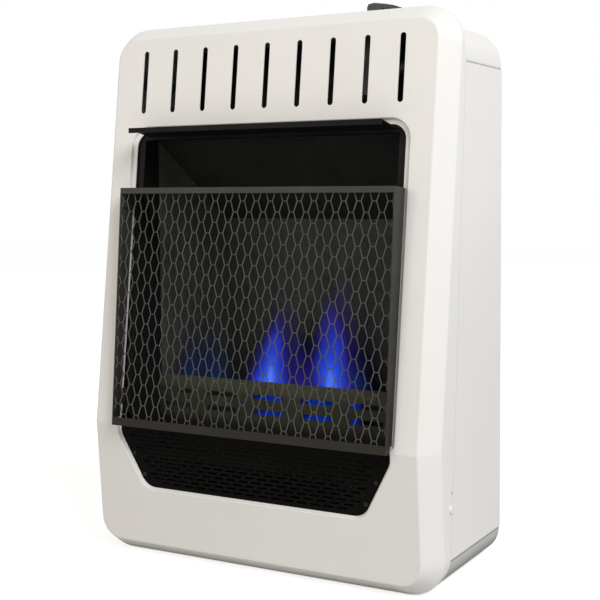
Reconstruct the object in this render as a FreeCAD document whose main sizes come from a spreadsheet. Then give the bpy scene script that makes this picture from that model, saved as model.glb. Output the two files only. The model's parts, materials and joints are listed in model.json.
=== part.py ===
import FreeCAD, Part
import os
import re
import Sketcher
from math import atan, cos, degrees, hypot, pi, radians, sin, tan
from types import SimpleNamespace
from FreeCAD import Placement, Rotation, Vector

# Blue flame gas heater. Millimetres, +Z up, the front looks along -Y.
# Depths are measured back from the crease of the front face. Every piece is then moved by one
# shift, so that the origin lies under the middle of the heater's box.

SIZES = {
    # Front cover: outline, leaning face, bevelled border and side flanges
    "cover_width": 403.0,
    "cover_height": 560.0,
    "cover_skin": 1.0,
    "crease_height": 141.0,
    "top_setback": 54.0,
    "foot_setback": 10.8,
    "cover_corner": 38.0,
    "bevel_width": 15.5,
    "bevel_depth": 19.8,
    "soft_edge": 3.0,
    "side_foot_depth": 40.5,
    "side_top_depth": 81.0,
    # Air slots of the cover
    "slot_count": 9,
    "slot_pitch": 37.4,
    "slot_width": 6.2,
    "slot_drop": 26.6,
    "slot_length": 66.1,
    # Opening of the cover, with a sunk rim round its upper half and a turned edge round its foot
    "opening_corner": 15.0,
    "opening_drop": 112.5,
    "opening_border": 44.9,
    "waist_drop": 11.0,
    "foot_drop": 66.2,
    "foot_taper": 29.3,
    "waist_corner": 14.0,
    "foot_corner": 18.0,
    "rim_width": 5.4,
    "rim_depth": 3.4,
    "rim_run": 1.2,
    "rim_floor": 6.4,
    "rim_floor_corner": 3.0,
    "foot_rim": 1.5,
    # Casing: two side panels lapped over a top wrap and a bottom wrap, and a recessed back
    "casing_depth": 193.3,
    "casing_inset": 6.0,
    "casing_drop": 12.0,
    "casing_skin": 1.0,
    "top_bend": 37.0,
    "bottom_bend": 28.0,
    "top_seam_drop": 4.0,
    "bottom_seam_rise": 2.0,
    "seam_lap": 8.0,
    "top_wrap_front": 66.0,
    "wrap_gap": 1.2,
    "strip_tuck": 9.0,
    "strip_show": 3.0,
    "back_recess": 3.0,
    "back_return": 12.0,
    # Keyholes for two wall screws
    "keyhole_spacing": 300.0,
    "keyhole_fall": 78.0,
    "keyhole_entry": 6.0,
    "keyhole_neck": 3.2,
    "keyhole_drop": 14.0,
    # Screws: pan heads, shared by the cover, the back and the lower grille
    "screw_radius": 2.0,
    "screw_head": 4.0,
    "screw_head_height": 2.2,
    "screw_reach": 6.0,
    "screw_play": 0.15,
    "cover_screw_height": 84.0,
    "cover_screw_inset": 4.5,
    "notch_height": 97.0,
    "notch_size": 4.0,
    "back_screw_low": 80.0,
    # Firebox: black front with flange and throat, converging walls, baffle and deck
    "flange_gap": 2.0,
    "flange_rise": 12.0,
    "flange_lap": 15.4,
    "flange_foot_rise": 12.0,
    "throat_drop": 8.5,
    "throat_inset": 8.2,
    "firebox_skin": 1.0,
    "firebox_front": 67.0,
    "firebox_behind": 28.3,
    "firebox_taper": 22.0,
    "baffle_fall": 85.5,
    "deck_height": 105.0,
    "deck_skin": 1.0,
    "deck_front": 18.0,
    # Hood over the opening
    "hood_front": 10.5,
    "hood_side": 3.05,
    "hood_rise": 3.1,
    "hood_root_drop": 5.0,
    "hood_lip": 5.2,
    "hood_tab": 8.5,
    "hood_skin": 1.0,
    # Guard: shallow frame with an expanded mesh, hung by four ears
    "guard_depth": 22.0,
    "guard_foot_depth": 12.0,
    "guard_relief": 7.5,
    "guard_relief_depth": 8.4,
    "guard_lap": 1.9,
    "guard_headroom": 57.9,
    "guard_stand_off": 9.2,
    "guard_lean": 21.6,
    "guard_skin": 1.2,
    "guard_top_bar": 6.0,
    "guard_bottom_bar": 8.5,
    "guard_lift": 8.0,
    "ear_height": 16.0,
    "ear_low": 22.0,
    "ear_top": 20.0,
    "ear_hook": 4.0,
    "ear_tip": 3.0,
    "ear_play": 0.6,
    "ear_inset": 1.4,
    "mesh_skin": 1.0,
    "mesh_edge": 0.2,
    "mesh_strand": 1.6,
    "mesh_bond": 5.4,
    "mesh_columns": 15.5,
    "mesh_rows": 8.5,
    # Lower grille: perforated panel behind the foot of the opening
    "grille_skin": 1.0,
    "grille_drop": 4.0,
    "grille_lap": 6.0,
    "grille_rim": 6.0,
    "perforation_length": 10.6,
    "perforation_height": 1.9,
    "perforation_pitch": 14.8,
    "perforation_row": 4.4,
    "grille_screw_upper": 20.0,
    "grille_screw_lower": 42.0,
    "grille_screw_inset": 5.0,
    "grille_screw_reach": 4.0,
    "small_screw": 0.55,
    # Burner shield, burner and its gas jet
    "shield_skin": 1.0,
    "shield_ahead": 7.0,
    "shield_side": 2.0,
    "shield_height": 82.0,
    "shield_foot": 12.0,
    "port_groups": 5,
    "port_pitch": 57.0,
    "port_length": 36.0,
    "port_height": 5.0,
    "port_lift": 49.5,
    "port_rise": 15.7,
    "port_centre": -9.2,
    "burner_width": 30.0,
    "burner_ahead": 43.0,
    "burner_lift": 32.0,
    "burner_height": 28.0,
    "burner_ends": 30.0,
    "flame_pitch": 46.0,
    "flame_length": 30.0,
    "venturi_lift": 13.0,
    "burner_skin": 1.0,
    "burner_port": 3.0,
    "venturi_radius": 11.0,
    "venturi_mouth": 15.0,
    "venturi_reach": 40.0,
    "venturi_play": 1.0,
    "bracket_skin": 1.5,
    "jet_gap": 5.0,
    "jet_radius": 4.0,
    "jet_length": 7.0,
    "jet_block": 20.0,
    # Pilot: a bracket that carries the pilot burner, the thermocouple and the electrode
    "pilot_pitch": 10.0,
    "pilot_behind": 31.0,
    "pilot_inset": 33.0,
    "pilot_lift": 45.0,
    "pilot_radius": 4.0,
    "thermocouple_radius": 2.5,
    "insulator_radius": 3.0,
    "electrode_radius": 0.8,
    "pilot_play": 0.1,
    # Gas valve under the casing top, with its stem and knob
    "valve_width": 44.0,
    "knob_inset": 94.5,
    "knob_behind": 73.3,
    "valve_drop": 68.0,
    "valve_depth": 56.0,
    "bonnet_radius": 12.0,
    "bonnet_rise": 1.5,
    "bonnet_bore": 9.0,
    "panel_play": 0.3,
    "boss_reach": 8.0,
    "stem_radius": 4.0,
    "stem_reach": 12.0,
    "stem_play": 0.05,
    "ring_height": 3.0,
    "ring_drop": 4.5,
    "collar_radius": 6.5,
    "collar_gap": 0.3,
    "knob_radius": 22.0,
    "knob_gap": 8.0,
    "skirt_height": 7.0,
    "knob_height": 18.0,
    "grip_width": 11.0,
    "knob_push": 5.0,
    # Piezo igniter beside the knob
    "igniter_radius": 9.0,
    "igniter_side": 41.0,
    "igniter_behind": 28.3,
    "igniter_drop": 62.0,
    "igniter_neck": 8.0,
    "igniter_rise": 3.0,
    "bezel_radius": 11.5,
    "button_radius": 6.0,
    "button_rise": 12.0,
    "button_play": 0.08,
    "button_travel": 6.0,
    # Regulator and inlet in the foot of the casing
    "regulator_radius": 27.0,
    "regulator_side": 17.0,
    "regulator_behind": 93.3,
    "regulator_low": 40.0,
    "regulator_top": 78.0,
    "inlet_radius": 8.55,
    "inlet_end": 12.0,
    "inlet_hex": 12.0,
    "inlet_hex_height": 10.0,
    "inlet_bore": 4.5,
    "inlet_access": 20.0,
    # Tubes, leads and the thermostat's bulb
    "supply_radius": 4.75,
    "supply_inset": 25.5,
    "feed_radius": 4.0,
    "pilot_tube_radius": 2.5,
    "pilot_tube_inset": 11.5,
    "thermo_lead_radius": 1.2,
    "thermo_lead_inset": 5.5,
    "spark_lead_radius": 1.5,
    "spark_lead_inset": 35.5,
    "capillary_radius": 1.0,
    "capillary_inset": 9.5,
    "bulb_radius": 4.0,
    "bulb_length": 80.0,
    "bulb_height": 60.0,
    "clip_width": 8.0,
    "clip_spacing": 50.0,
    "clip_wall": 2.0,
    "tube_play": 2.0,
    # Heat shield between the baffle and the valve
    "heat_shield_drop": 6.0,
    "heat_shield_reach": 45.0,
    "heat_shield_left_reach": 46.0,
    "heat_shield_right_reach": 29.0,
}

# Sizes and places that follow from the ones above, each a sum of them
SUMS = {
    "slot_high": "cover_height - slot_drop",
    "slot_low": "slot_high - slot_length",
    "lip_depth": "rim_depth + cover_skin",
    "opening_width": "cover_width - 2 * opening_border",
    "opening_top": "cover_height - opening_drop",
    "opening_waist": "crease_height - waist_drop",
    "opening_foot": "crease_height - foot_drop",
    "foot_width": "opening_width - 2 * foot_taper",
    "casing_width": "cover_width - 2 * casing_inset",
    "casing_top_height": "cover_height - casing_drop",
    "top_seam": "casing_top_height - top_bend - top_seam_drop",
    "bottom_seam": "bottom_bend + bottom_seam_rise",
    "keyhole_height": "casing_top_height - keyhole_fall",
    "back_screw_pitch": "0.5 * casing_top_height - back_screw_low",
    "flange_top": "opening_top + flange_rise",
    "flange_width": "opening_width + 2 * flange_lap",
    "throat_top": "opening_top - throat_drop",
    "throat_width": "opening_width - 2 * throat_inset",
    "firebox_back": "casing_depth - firebox_behind",
    "firebox_back_width": "throat_width - 2 * firebox_taper",
    "baffle_low": "throat_top - baffle_fall",
    "hood_width": "throat_width - 2 * hood_side",
    "hood_height": "opening_top + hood_rise",
    "hood_root": "opening_top - hood_root_drop",
    "guard_width": "opening_width + 2 * guard_lap",
    "guard_low": "1 * crease_height",
    "guard_height": "opening_top - crease_height - guard_headroom",
    "ear_high": "guard_height - ear_top",
    "grille_top": "crease_height - grille_drop",
    "shield_depth": "firebox_front - shield_ahead",
    "shield_width": "throat_width - 2 * shield_side",
    "shield_top": "deck_height + shield_height",
    "port_low": "deck_height + port_lift",
    "burner_depth": "firebox_back - burner_ahead",
    "burner_low": "deck_height + burner_lift",
    "burner_top": "burner_low + burner_height",
    "burner_length": "throat_width - 2 * burner_ends",
    "venturi_height": "burner_low + venturi_lift",
    "pilot_depth": "shield_depth + pilot_behind",
    "pilot_x": "0.5 * throat_width - pilot_inset",
    "pilot_shelf": "deck_height + pilot_lift",
    "knob_x": "0.5 * casing_width - knob_inset",
    "knob_y": "casing_depth - knob_behind",
    "valve_low": "casing_top_height - valve_drop",
    "knob_base": "casing_top_height + knob_gap",
    "knob_skirt": "knob_base + skirt_height",
    "stem_top": "knob_base + stem_reach",
    "knob_top": "knob_base + knob_height",
    "igniter_x": "knob_x + igniter_side",
    "igniter_y": "casing_depth - igniter_behind",
    "igniter_low": "casing_top_height - igniter_drop",
    "button_top": "casing_top_height + button_rise",
    "regulator_x": "knob_x + regulator_side",
    "regulator_y": "casing_depth - regulator_behind",
    "supply_x": "0.5 * casing_width - supply_inset",
    "pilot_tube_x": "0.5 * casing_width - pilot_tube_inset",
    "thermo_lead_x": "0.5 * casing_width - thermo_lead_inset",
    "spark_lead_x": "0.5 * casing_width - spark_lead_inset",
    "capillary_x": "0.5 * casing_width - capillary_inset",
    "heat_shield_height": "valve_low - heat_shield_drop",
    "heat_shield_front": "knob_y - heat_shield_reach",
    "heat_shield_left": "knob_x - heat_shield_left_reach",
    "heat_shield_right": "knob_x + heat_shield_right_reach",
}

doc = FreeCAD.newDocument("gas_heater")
sheet = doc.addObject("Spreadsheet::Sheet", "Sizes")
for row, (name, value) in enumerate(SIZES.items(), start=1):
    sheet.set(f"A{row}", name)
    sheet.set(f"B{row}", str(value))
    sheet.setAlias(f"B{row}", name)
doc.recompute()

size = SimpleNamespace(**{name: float(sheet.get(name)) for name in SIZES})


def total(text):
    """Value of a sum of sizes, each with a sign and a factor."""
    value = 0.0
    factor = 1.0
    for word in text.split():
        if word in ("+", "-"):
            factor = 1.0 if word == "+" else -1.0
        elif hasattr(size, word):
            value += factor * getattr(size, word)
        elif word != "*":
            factor *= float(word)
    return value


for name, text in SUMS.items():
    setattr(size, name, total(text))

# Lengths that several pieces share, written as the sheet reads them
SHIFT = "(guard_stand_off - casing_depth) / 2"
SIDE_FACE = "casing_width / 2 - casing_skin"
BACK_FACE = "casing_depth - back_recess - casing_skin"
LEAN = "top_setback / (cover_height - crease_height)"
VALVE_TOP = "casing_top_height - casing_skin - bracket_skin"
PORT_LEFT = "port_centre - (port_groups - 1) * port_pitch / 2 - port_length / 2"
FLAME_LEFT = "port_centre - (port_groups - 1) * flame_pitch / 2 - flame_length / 2"
BURNER_LEFT = "port_centre - burner_length / 2"
BURNER_RIGHT = "port_centre + burner_length / 2"
JET_TIP = f"{BURNER_RIGHT} + venturi_reach + jet_gap"
JET_FACE = f"{JET_TIP} + jet_length"
SHELF_TOP = "pilot_shelf + bracket_skin"

nodes = []


# Helpers for the parametric objects

def ex(text):
    """The text as an expression, with every size read from the sheet and every sum written out."""
    def read(word):
        if word[0] in SUMS:
            return "(" + ex(SUMS[word[0]]) + ")"
        return "Sizes." + word[0] if word[0] in SIZES else word[0]
    return re.sub(r"[a-z_]+", read, text)


def seat(obj, x="0", y="0", z="0"):
    """Bind an object's place to the sheet, with the shift of the whole heater."""
    obj.setExpression("Placement.Base.x", ex(x))
    obj.setExpression("Placement.Base.y", ex(f"{y} + {SHIFT}"))
    obj.setExpression("Placement.Base.z", ex(z))


def node(obj, label):
    """Keep an object as a piece of the heater under its own name."""
    obj.Label = label
    nodes.append(obj)
    return obj


def box(x, y, z, width, depth, height):
    """A block from its low corner and its three sizes."""
    block = doc.addObject("Part::Box", "block")
    block.setExpression("Length", ex(width))
    block.setExpression("Width", ex(depth))
    block.setExpression("Height", ex(height))
    seat(block, x, y, z)
    return block


TURNS = {
    "x": Rotation(Vector(0, 1, 0), 90),
    "y": Rotation(Vector(1, 0, 0), -90),
    "z": Rotation(),
}


def rod(radius, length, x, y, z, axis="z"):
    """A cylinder from the middle of its first end, along an axis."""
    cylinder = doc.addObject("Part::Cylinder", "rod")
    cylinder.Placement = Placement(Vector(), TURNS[axis])
    cylinder.setExpression("Radius", ex(radius))
    cylinder.setExpression("Height", ex(length))
    seat(cylinder, x, y, z)
    return cylinder


def cone(first, second, length, x, y, z, axis="z"):
    """A cone from the middle of its first end, along an axis."""
    shape = doc.addObject("Part::Cone", "cone")
    shape.Placement = Placement(Vector(), TURNS[axis])
    shape.setExpression("Radius1", ex(first))
    shape.setExpression("Radius2", ex(second))
    shape.setExpression("Height", ex(length))
    seat(shape, x, y, z)
    return shape


def joined(*pieces):
    """One solid from several that touch or overlap."""
    union = doc.addObject("Part::MultiFuse", "joined")
    union.Shapes = list(pieces)
    union.Refine = True
    return union


def cut(base, *tools):
    """The base with the tools taken out of it."""
    result = doc.addObject("Part::Cut", "cut")
    result.Base = base
    result.Tool = tools[0] if len(tools) == 1 else joined(*tools)
    result.Refine = True
    return result


def new_body(label, x="0", y="0", z="0"):
    body = doc.addObject("PartDesign::Body", label)
    seat(body, x, y, z)
    return node(body, label)


def plane_of(body, role):
    return next(plane for plane in body.Origin.OriginFeatures if plane.Role == role)


def sketch_on(body, role, offset=None):
    """A sketch on one of the body's own planes, moved off it by an expression."""
    sketch = body.newObject("Sketcher::SketchObject", "sketch")
    sketch.AttachmentSupport = [(plane_of(body, role), "")]
    sketch.MapMode = "FlatFace"
    if offset:
        sketch.setExpression("AttachmentOffset.Base.z", ex(offset))
    return sketch


def outline(sketch, corners):
    """Closed straight outline whose corners are pairs of expressions."""
    first = sketch.GeometryCount
    count = len(corners)
    ring = [Vector(cos(2 * pi * k / count), sin(2 * pi * k / count), 0) * 10 for k in range(count)]
    for k in range(count):
        sketch.addGeometry(Part.LineSegment(ring[k], ring[(k + 1) % count]), False)
    for k in range(count):
        follower = first + (k + 1) % count
        sketch.addConstraint(Sketcher.Constraint("Coincident", first + k, 2, follower, 1))
    for k, corner in enumerate(corners):
        for kind, text in zip(("DistanceX", "DistanceY"), corner):
            index = sketch.addConstraint(Sketcher.Constraint(kind, -1, 1, first + k, 1, 1.0))
            sketch.setExpression(f"Constraints[{index}]", ex(text))


def rectangle(sketch, left, right, low, high):
    outline(sketch, [(left, low), (right, low), (right, high), (left, high)])


def circle(sketch, x, y, radius):
    """A circle whose centre and radius are expressions."""
    index = sketch.addGeometry(Part.Circle(Vector(), Vector(0, 0, 1), 5), False)
    for kind, text in (("DistanceX", x), ("DistanceY", y)):
        place = sketch.addConstraint(Sketcher.Constraint(kind, -1, 1, index, 3, 1.0))
        sketch.setExpression(f"Constraints[{place}]", ex(text))
    width = sketch.addConstraint(Sketcher.Constraint("Radius", index, 5.0))
    sketch.setExpression(f"Constraints[{width}]", ex(radius))


def pad(body, sketch, length, reverse=False, middle=False):
    feature = body.newObject("PartDesign::Pad", "pad")
    feature.Profile = sketch
    feature.setExpression("Length", ex(length))
    feature.Reversed = reverse
    feature.Midplane = middle
    doc.recompute()
    return feature


def pocket(body, sketch):
    """Cut the sketch right through the body, both ways."""
    before = body.Shape.Volume
    feature = body.newObject("PartDesign::Pocket", "pocket")
    feature.Profile = sketch
    feature.Type = "ThroughAll"
    feature.Midplane = True
    doc.recompute()
    if not body.Shape.Volume < before:
        raise ValueError(f"{body.Label}: a cut removed nothing")
    return feature


def revolution(body, corners):
    """Turn an outline of (radius, height) corners about the body's Z axis."""
    sketch = sketch_on(body, "XZ_Plane")
    outline(sketch, corners)
    feature = body.newObject("PartDesign::Revolution", "revolution")
    feature.Profile = sketch
    feature.ReferenceAxis = (sketch, ["V_Axis"])
    feature.Angle = 360
    doc.recompute()
    return feature


def edges_where(feature, test):
    return [f"Edge{k}" for k, edge in enumerate(feature.Shape.Edges, start=1) if test(edge.BoundBox)]


def faces_where(feature, test):
    return [f"Face{k}" for k, face in enumerate(feature.Shape.Faces, start=1) if test(face.BoundBox)]


def fillet(body, base, edges, radius):
    feature = body.newObject("PartDesign::Fillet", "fillet")
    feature.Base = (base, edges)
    feature.setExpression("Radius", ex(radius))
    doc.recompute()
    return feature


def hollow(body, base, open_faces, skin):
    """Leave a skin of the base, open at the named faces."""
    feature = body.newObject("PartDesign::Thickness", "skin")
    feature.Base = (base, open_faces)
    feature.setExpression("Value", ex(skin))
    feature.Reversed = True
    doc.recompute()
    return feature


# Helpers for shapes that follow the leaning faces

def flat(length):
    return abs(length) < 1e-6


def grown(points, amount):
    """A convex outline, counter-clockwise, with every side moved outwards."""
    lines = []
    for (x0, z0), (x1, z1) in zip(points, points[1:] + points[:1]):
        run = hypot(x1 - x0, z1 - z0)
        out_x = (z1 - z0) / run
        out_z = (x0 - x1) / run
        lines.append((out_x, out_z, out_x * x0 + out_z * z0 + amount))
    corners = []
    for (a, b, c), (d, e, f) in zip(lines[-1:] + lines[:-1], lines):
        scale = a * e - b * d
        corners.append(((c * e - b * f) / scale, (a * f - c * d) / scale))
    return corners


def rounded_wire(points, radii, depth):
    """A closed wire at one depth, with an arc at every corner that has a radius."""
    ends = []
    count = len(points)
    for k, (corner, radius) in enumerate(zip(points, radii)):
        here = Vector(corner[0], depth, corner[1])
        to_last = (Vector(points[k - 1][0], depth, points[k - 1][1]) - here).normalize()
        after = points[(k + 1) % count]
        to_next = (Vector(after[0], depth, after[1]) - here).normalize()
        half = to_last.getAngle(to_next) / 2
        reach = radius / tan(half)
        middle = here + (to_last + to_next).normalize() * (radius / sin(half) - radius)
        ends.append((here + to_last * reach, middle, here + to_next * reach, radius))
    edges = []
    for (start, middle, stop, radius), following in zip(ends, ends[1:] + ends[:1]):
        if radius > 0:
            edges.append(Part.Arc(start, middle, stop).toShape())
        edges.append(Part.makeLine(stop, following[0]))
    return Part.Wire(edges)


def stack(points, radii, sections):
    """A solid through outlines that grow and sink from section to section."""
    wires = []
    for growth, depth in sections:
        bent = [radius + growth if radius > 0 else 0 for radius in radii]
        wires.append(rounded_wire(grown(points, growth), bent, depth))
    return Part.makeLoft(wires, True, True)


def eased(line, radius):
    """A line of points with an arc of short steps at each of its inner corners."""
    steps = 4
    result = [line[0]]
    for last, here, after in zip(line, line[1:], line[2:]):
        first = Vector(here[0] - last[0], here[1] - last[1], 0).normalize()
        second = Vector(after[0] - here[0], after[1] - here[1], 0).normalize()
        turn = first.getAngle(second)
        reach = radius * tan(turn / 2)
        bend = (second - first).normalize()
        corner = Vector(here[0], here[1], 0)
        centre = corner + bend * (radius / cos(turn / 2))
        for k in range(steps + 1):
            share = k / steps * turn - turn / 2
            along = (first + second).normalize()
            point = centre - bend * (radius * cos(share)) + along * (radius * sin(share))
            result.append((point.x, point.y))
    return result + [line[-1]]


def prism(points, direction):
    return Part.Face(Part.makePolygon(points + points[:1])).extrude(direction)


def plate_x(points, left, width):
    """A plate from (depth, height) corners, across the heater."""
    return prism([Vector(left, y, z) for y, z in points], Vector(width, 0, 0))


def plate_y(points, depth_at, thickness, holes=()):
    """A plate from (x, height) corners, standing at a depth that follows the height."""
    def wire(corners):
        ring = [Vector(x, depth_at(z), z) for x, z in corners]
        return Part.makePolygon(ring + ring[:1])
    face = Part.Face([wire(points)] + [wire(hole[::-1]) for hole in holes])
    return face.extrude(Vector(0, thickness, 0))


def clipped(points, left, right, low, high):
    """The part of a convex outline that lies within a rectangle."""
    limits = ((0, left, 1), (0, right, -1), (1, low, 1), (1, high, -1))
    for axis, limit, sign in limits:
        kept = []
        for here, after in zip(points, points[1:] + points[:1]):
            inside = (here[axis] - limit) * sign >= 0
            if inside:
                kept.append(here)
            if inside != ((after[axis] - limit) * sign >= 0):
                share = (limit - here[axis]) / (after[axis] - here[axis])
                kept.append(tuple(a + (b - a) * share for a, b in zip(here, after)))
        points = [a for a, b in zip(kept, kept[1:] + kept[:1]) if hypot(a[0] - b[0], a[1] - b[1]) > 1e-6]
    return points


def area(points):
    pairs = zip(points, points[1:] + points[:1])
    return sum(x0 * z1 - x1 * z0 for (x0, z0), (x1, z1) in pairs) / 2


def tube(points, radius, bend):
    """A round tube along straight runs joined by tangent arcs."""
    corners = [Vector(*point) for point in points]
    edges = []
    start = corners[0]
    for last, here, after in zip(corners, corners[1:], corners[2:]):
        back = (last - here).normalize()
        ahead = (after - here).normalize()
        half = back.getAngle(ahead) / 2
        reach = bend / tan(half)
        middle = here + (back + ahead).normalize() * (bend / sin(half) - bend)
        edges.append(Part.makeLine(start, here + back * reach))
        edges.append(Part.Arc(here + back * reach, middle, here + ahead * reach).toShape())
        start = here + ahead * reach
    edges.append(Part.makeLine(start, corners[-1]))
    path = Part.Wire(edges)
    ring = Part.Wire(Part.makeCircle(radius, corners[0], corners[1] - corners[0]))
    solid = path.makePipeShell([ring], True, False)
    if abs(solid.Volume / (pi * radius ** 2 * path.Length) - 1) > 0.02:
        raise ValueError("a tube lost its section")
    return solid


def pan_screw(place, direction, reach, share=1.0):
    """A screw whose head's underside lies at the place, with its shank along the direction."""
    radius = size.screw_head * share
    height = size.screw_head_height * share
    head = Part.makeCylinder(radius, height)
    rim = [edge for edge in head.Edges if flat(edge.BoundBox.ZMin - height)]
    head = head.makeFillet(height * 0.6, rim)
    cross = Part.makeBox(radius, radius / 5, height)
    cross.translate(Vector(-radius / 2, -radius / 10, height * 0.6))
    head = head.cut(cross)
    shank = Part.makeCylinder(size.screw_radius * share, reach, Vector(), Vector(0, 0, -1))
    screw = head.fuse(shank).removeSplitter()
    screw.Placement = Placement(place, Rotation(Vector(0, 0, -1), direction))
    return screw


def solid_node(label, shape, placement=None):
    """A piece whose shape is worked out here, moved by the heater's shift."""
    feature = doc.addObject("Part::Feature", label)
    feature.Shape = shape
    feature.Placement = placement or Placement(Vector(0, shift, 0), Rotation())
    return node(feature, label)


shift = (size.guard_stand_off - size.casing_depth) / 2
half_cover = size.cover_width / 2
half_casing = size.casing_width / 2
lean_up = size.top_setback / (size.cover_height - size.crease_height)
lean_down = size.foot_setback / size.crease_height
flange_depth = size.lip_depth + size.flange_gap
side_lean = (size.side_top_depth - size.side_foot_depth) / size.cover_height
back_face = size.casing_depth - size.back_recess - size.casing_skin
far = 4 * size.cover_height


def face_depth(z):
    """Depth of the cover's face at a height."""
    if z > size.crease_height:
        return lean_up * (z - size.crease_height)
    return lean_down * (size.crease_height - z)


def flange_face(z):
    """Depth of the firebox flange, parallel to the cover's upper face."""
    return flange_depth + lean_up * (z - size.crease_height)


def side_edge(z):
    """Depth of the rear edge of the cover's side flanges."""
    return size.side_foot_depth + side_lean * z


# Front cover. Its upper and lower halves are shaped upright, tipped about the crease and joined there.
# Depths are shortened by the tip, so both halves have the same section at the crease.

def cover_half(block, block_radii, hole, hole_radii, dent, dent_radii, rim, tip):
    skin = size.cover_skin
    width = size.bevel_width
    depth = size.bevel_depth
    slant = hypot(width, depth)
    inner_front = -width - skin * (slant - width) / depth
    inner_depth = depth + skin * (slant - depth) / width
    deep = size.side_top_depth + size.cover_height / 4
    run = size.rim_run
    squeeze = cos(tip)
    outer_line = [(-2 * width, 0), (-width, 0), (0, depth), (0, deep)]
    inner_line = [(-2 * width, skin), (inner_front, skin), (-skin, inner_depth), (-skin, deep + skin)]

    def tipped(sections):
        return [(growth, level * squeeze) for growth, level in sections]

    outer = stack(block, block_radii, tipped(eased(outer_line, size.soft_edge)[1:]))
    inner = stack(block, block_radii, tipped(eased(inner_line, size.soft_edge - skin)[1:]))
    step = [(rim + 3 * run, 0), (rim, 0), (rim - run, size.rim_depth), (rim - 4 * run, size.rim_depth)]
    dish = eased(step, run)[1:-1]
    backing = stack(dent, dent_radii, tipped([(rim + 2 * skin, 0), (rim + skin - run, size.lip_depth)]))
    recess = stack(dent, dent_radii, tipped([(dish[0][0], -skin)] + dish))
    way = stack(hole, hole_radii, tipped([(0, -skin), (0, size.lip_depth + skin)]))
    return outer.cut(inner).fuse(backing).cut([recess, way])


def cover_shape():
    crease = size.crease_height
    tip_up = atan(lean_up)
    tip_down = atan(lean_down)
    tail = size.cover_height / 10
    rise = (size.cover_height - crease + size.bevel_depth * cos(tip_up) * sin(tip_up)) / cos(tip_up)
    drop = (crease + size.bevel_depth * cos(tip_down) * sin(tip_down)) / cos(tip_down)
    half_hole = size.opening_width / 2
    half_foot = size.foot_width / 2
    corner = size.cover_corner
    top = (size.opening_top - crease) / cos(tip_up)
    waist = (size.opening_waist - crease) / cos(tip_down)
    foot = (size.opening_foot - crease) / cos(tip_down)

    floor = size.rim_floor
    mouth = [(-half_hole, -tail), (half_hole, -tail), (half_hole, top), (-half_hole, top)]
    mouth_radii = [0, 0, size.opening_corner, size.opening_corner]
    dent = [(-half_hole, floor), (half_hole, floor), (half_hole, top), (-half_hole, top)]
    dent_radii = [size.rim_floor_corner] * 2 + [size.opening_corner] * 2
    apron = [(-half_foot, foot), (half_foot, foot), (half_hole, waist),
             (half_hole, tail), (-half_hole, tail), (-half_hole, waist)]
    apron_radii = [size.foot_corner, size.foot_corner, size.waist_corner, 0, 0, size.waist_corner]

    upper = cover_half(
        [(-half_cover, -tail), (half_cover, -tail), (half_cover, rise), (-half_cover, rise)],
        [0, 0, corner, corner], mouth, mouth_radii, dent, dent_radii, size.rim_width, tip_up)
    lower = cover_half(
        [(-half_cover, -drop), (half_cover, -drop), (half_cover, tail), (-half_cover, tail)],
        [corner, corner, 0, 0], apron, apron_radii, apron, apron_radii, size.foot_rim, tip_down)
    upper.Placement = Placement(Vector(0, 0, crease), Rotation(Vector(1, 0, 0), -degrees(tip_up)))
    lower.Placement = Placement(Vector(0, 0, crease), Rotation(Vector(1, 0, 0), degrees(tip_down)))
    upper = upper.common(Part.makeBox(far, far, far, Vector(-far / 2, -far / 2, crease)))
    lower = lower.common(Part.makeBox(far, far, far, Vector(-far / 2, -far / 2, crease - far)))
    shape = upper.fuse(lower)

    behind = plate_x([(side_edge(-far), -far), (side_edge(far), far), (far, far), (far, -far)], -far / 2, far)
    slots = []
    half_slot = size.slot_width / 2
    for k in range(int(size.slot_count)):
        x = (k - (size.slot_count - 1) / 2) * size.slot_pitch
        ring = [(x - half_slot, size.slot_low), (x + half_slot, size.slot_low),
                (x + half_slot, size.slot_high), (x - half_slot, size.slot_high)]
        wire = rounded_wire(ring, [half_slot * 0.98] * 4, -far / 8)
        slots.append(Part.Face(wire).extrude(Vector(0, far / 4, 0)))
    notch_y = side_edge(size.notch_height) - size.notch_size
    notch = Part.makeBox(far, far, size.notch_size, Vector(-far / 2, notch_y, size.notch_height))
    return shape.cut([behind, notch, cover_screw_hole()] + slots).removeSplitter()


def cover_screw_place(side):
    z = size.cover_screw_height
    return Vector(side * half_cover, side_edge(z) - size.cover_screw_inset, z)


def cover_screw_hole():
    """A rod right across the heater, where the two cover screws go in."""
    place = cover_screw_place(1)
    radius = size.screw_radius + size.screw_play
    return Part.makeCylinder(radius, far, Vector(-far / 2, place.y, place.z), Vector(1, 0, 0))


solid_node("front_cover", cover_shape())


# Casing

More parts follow.
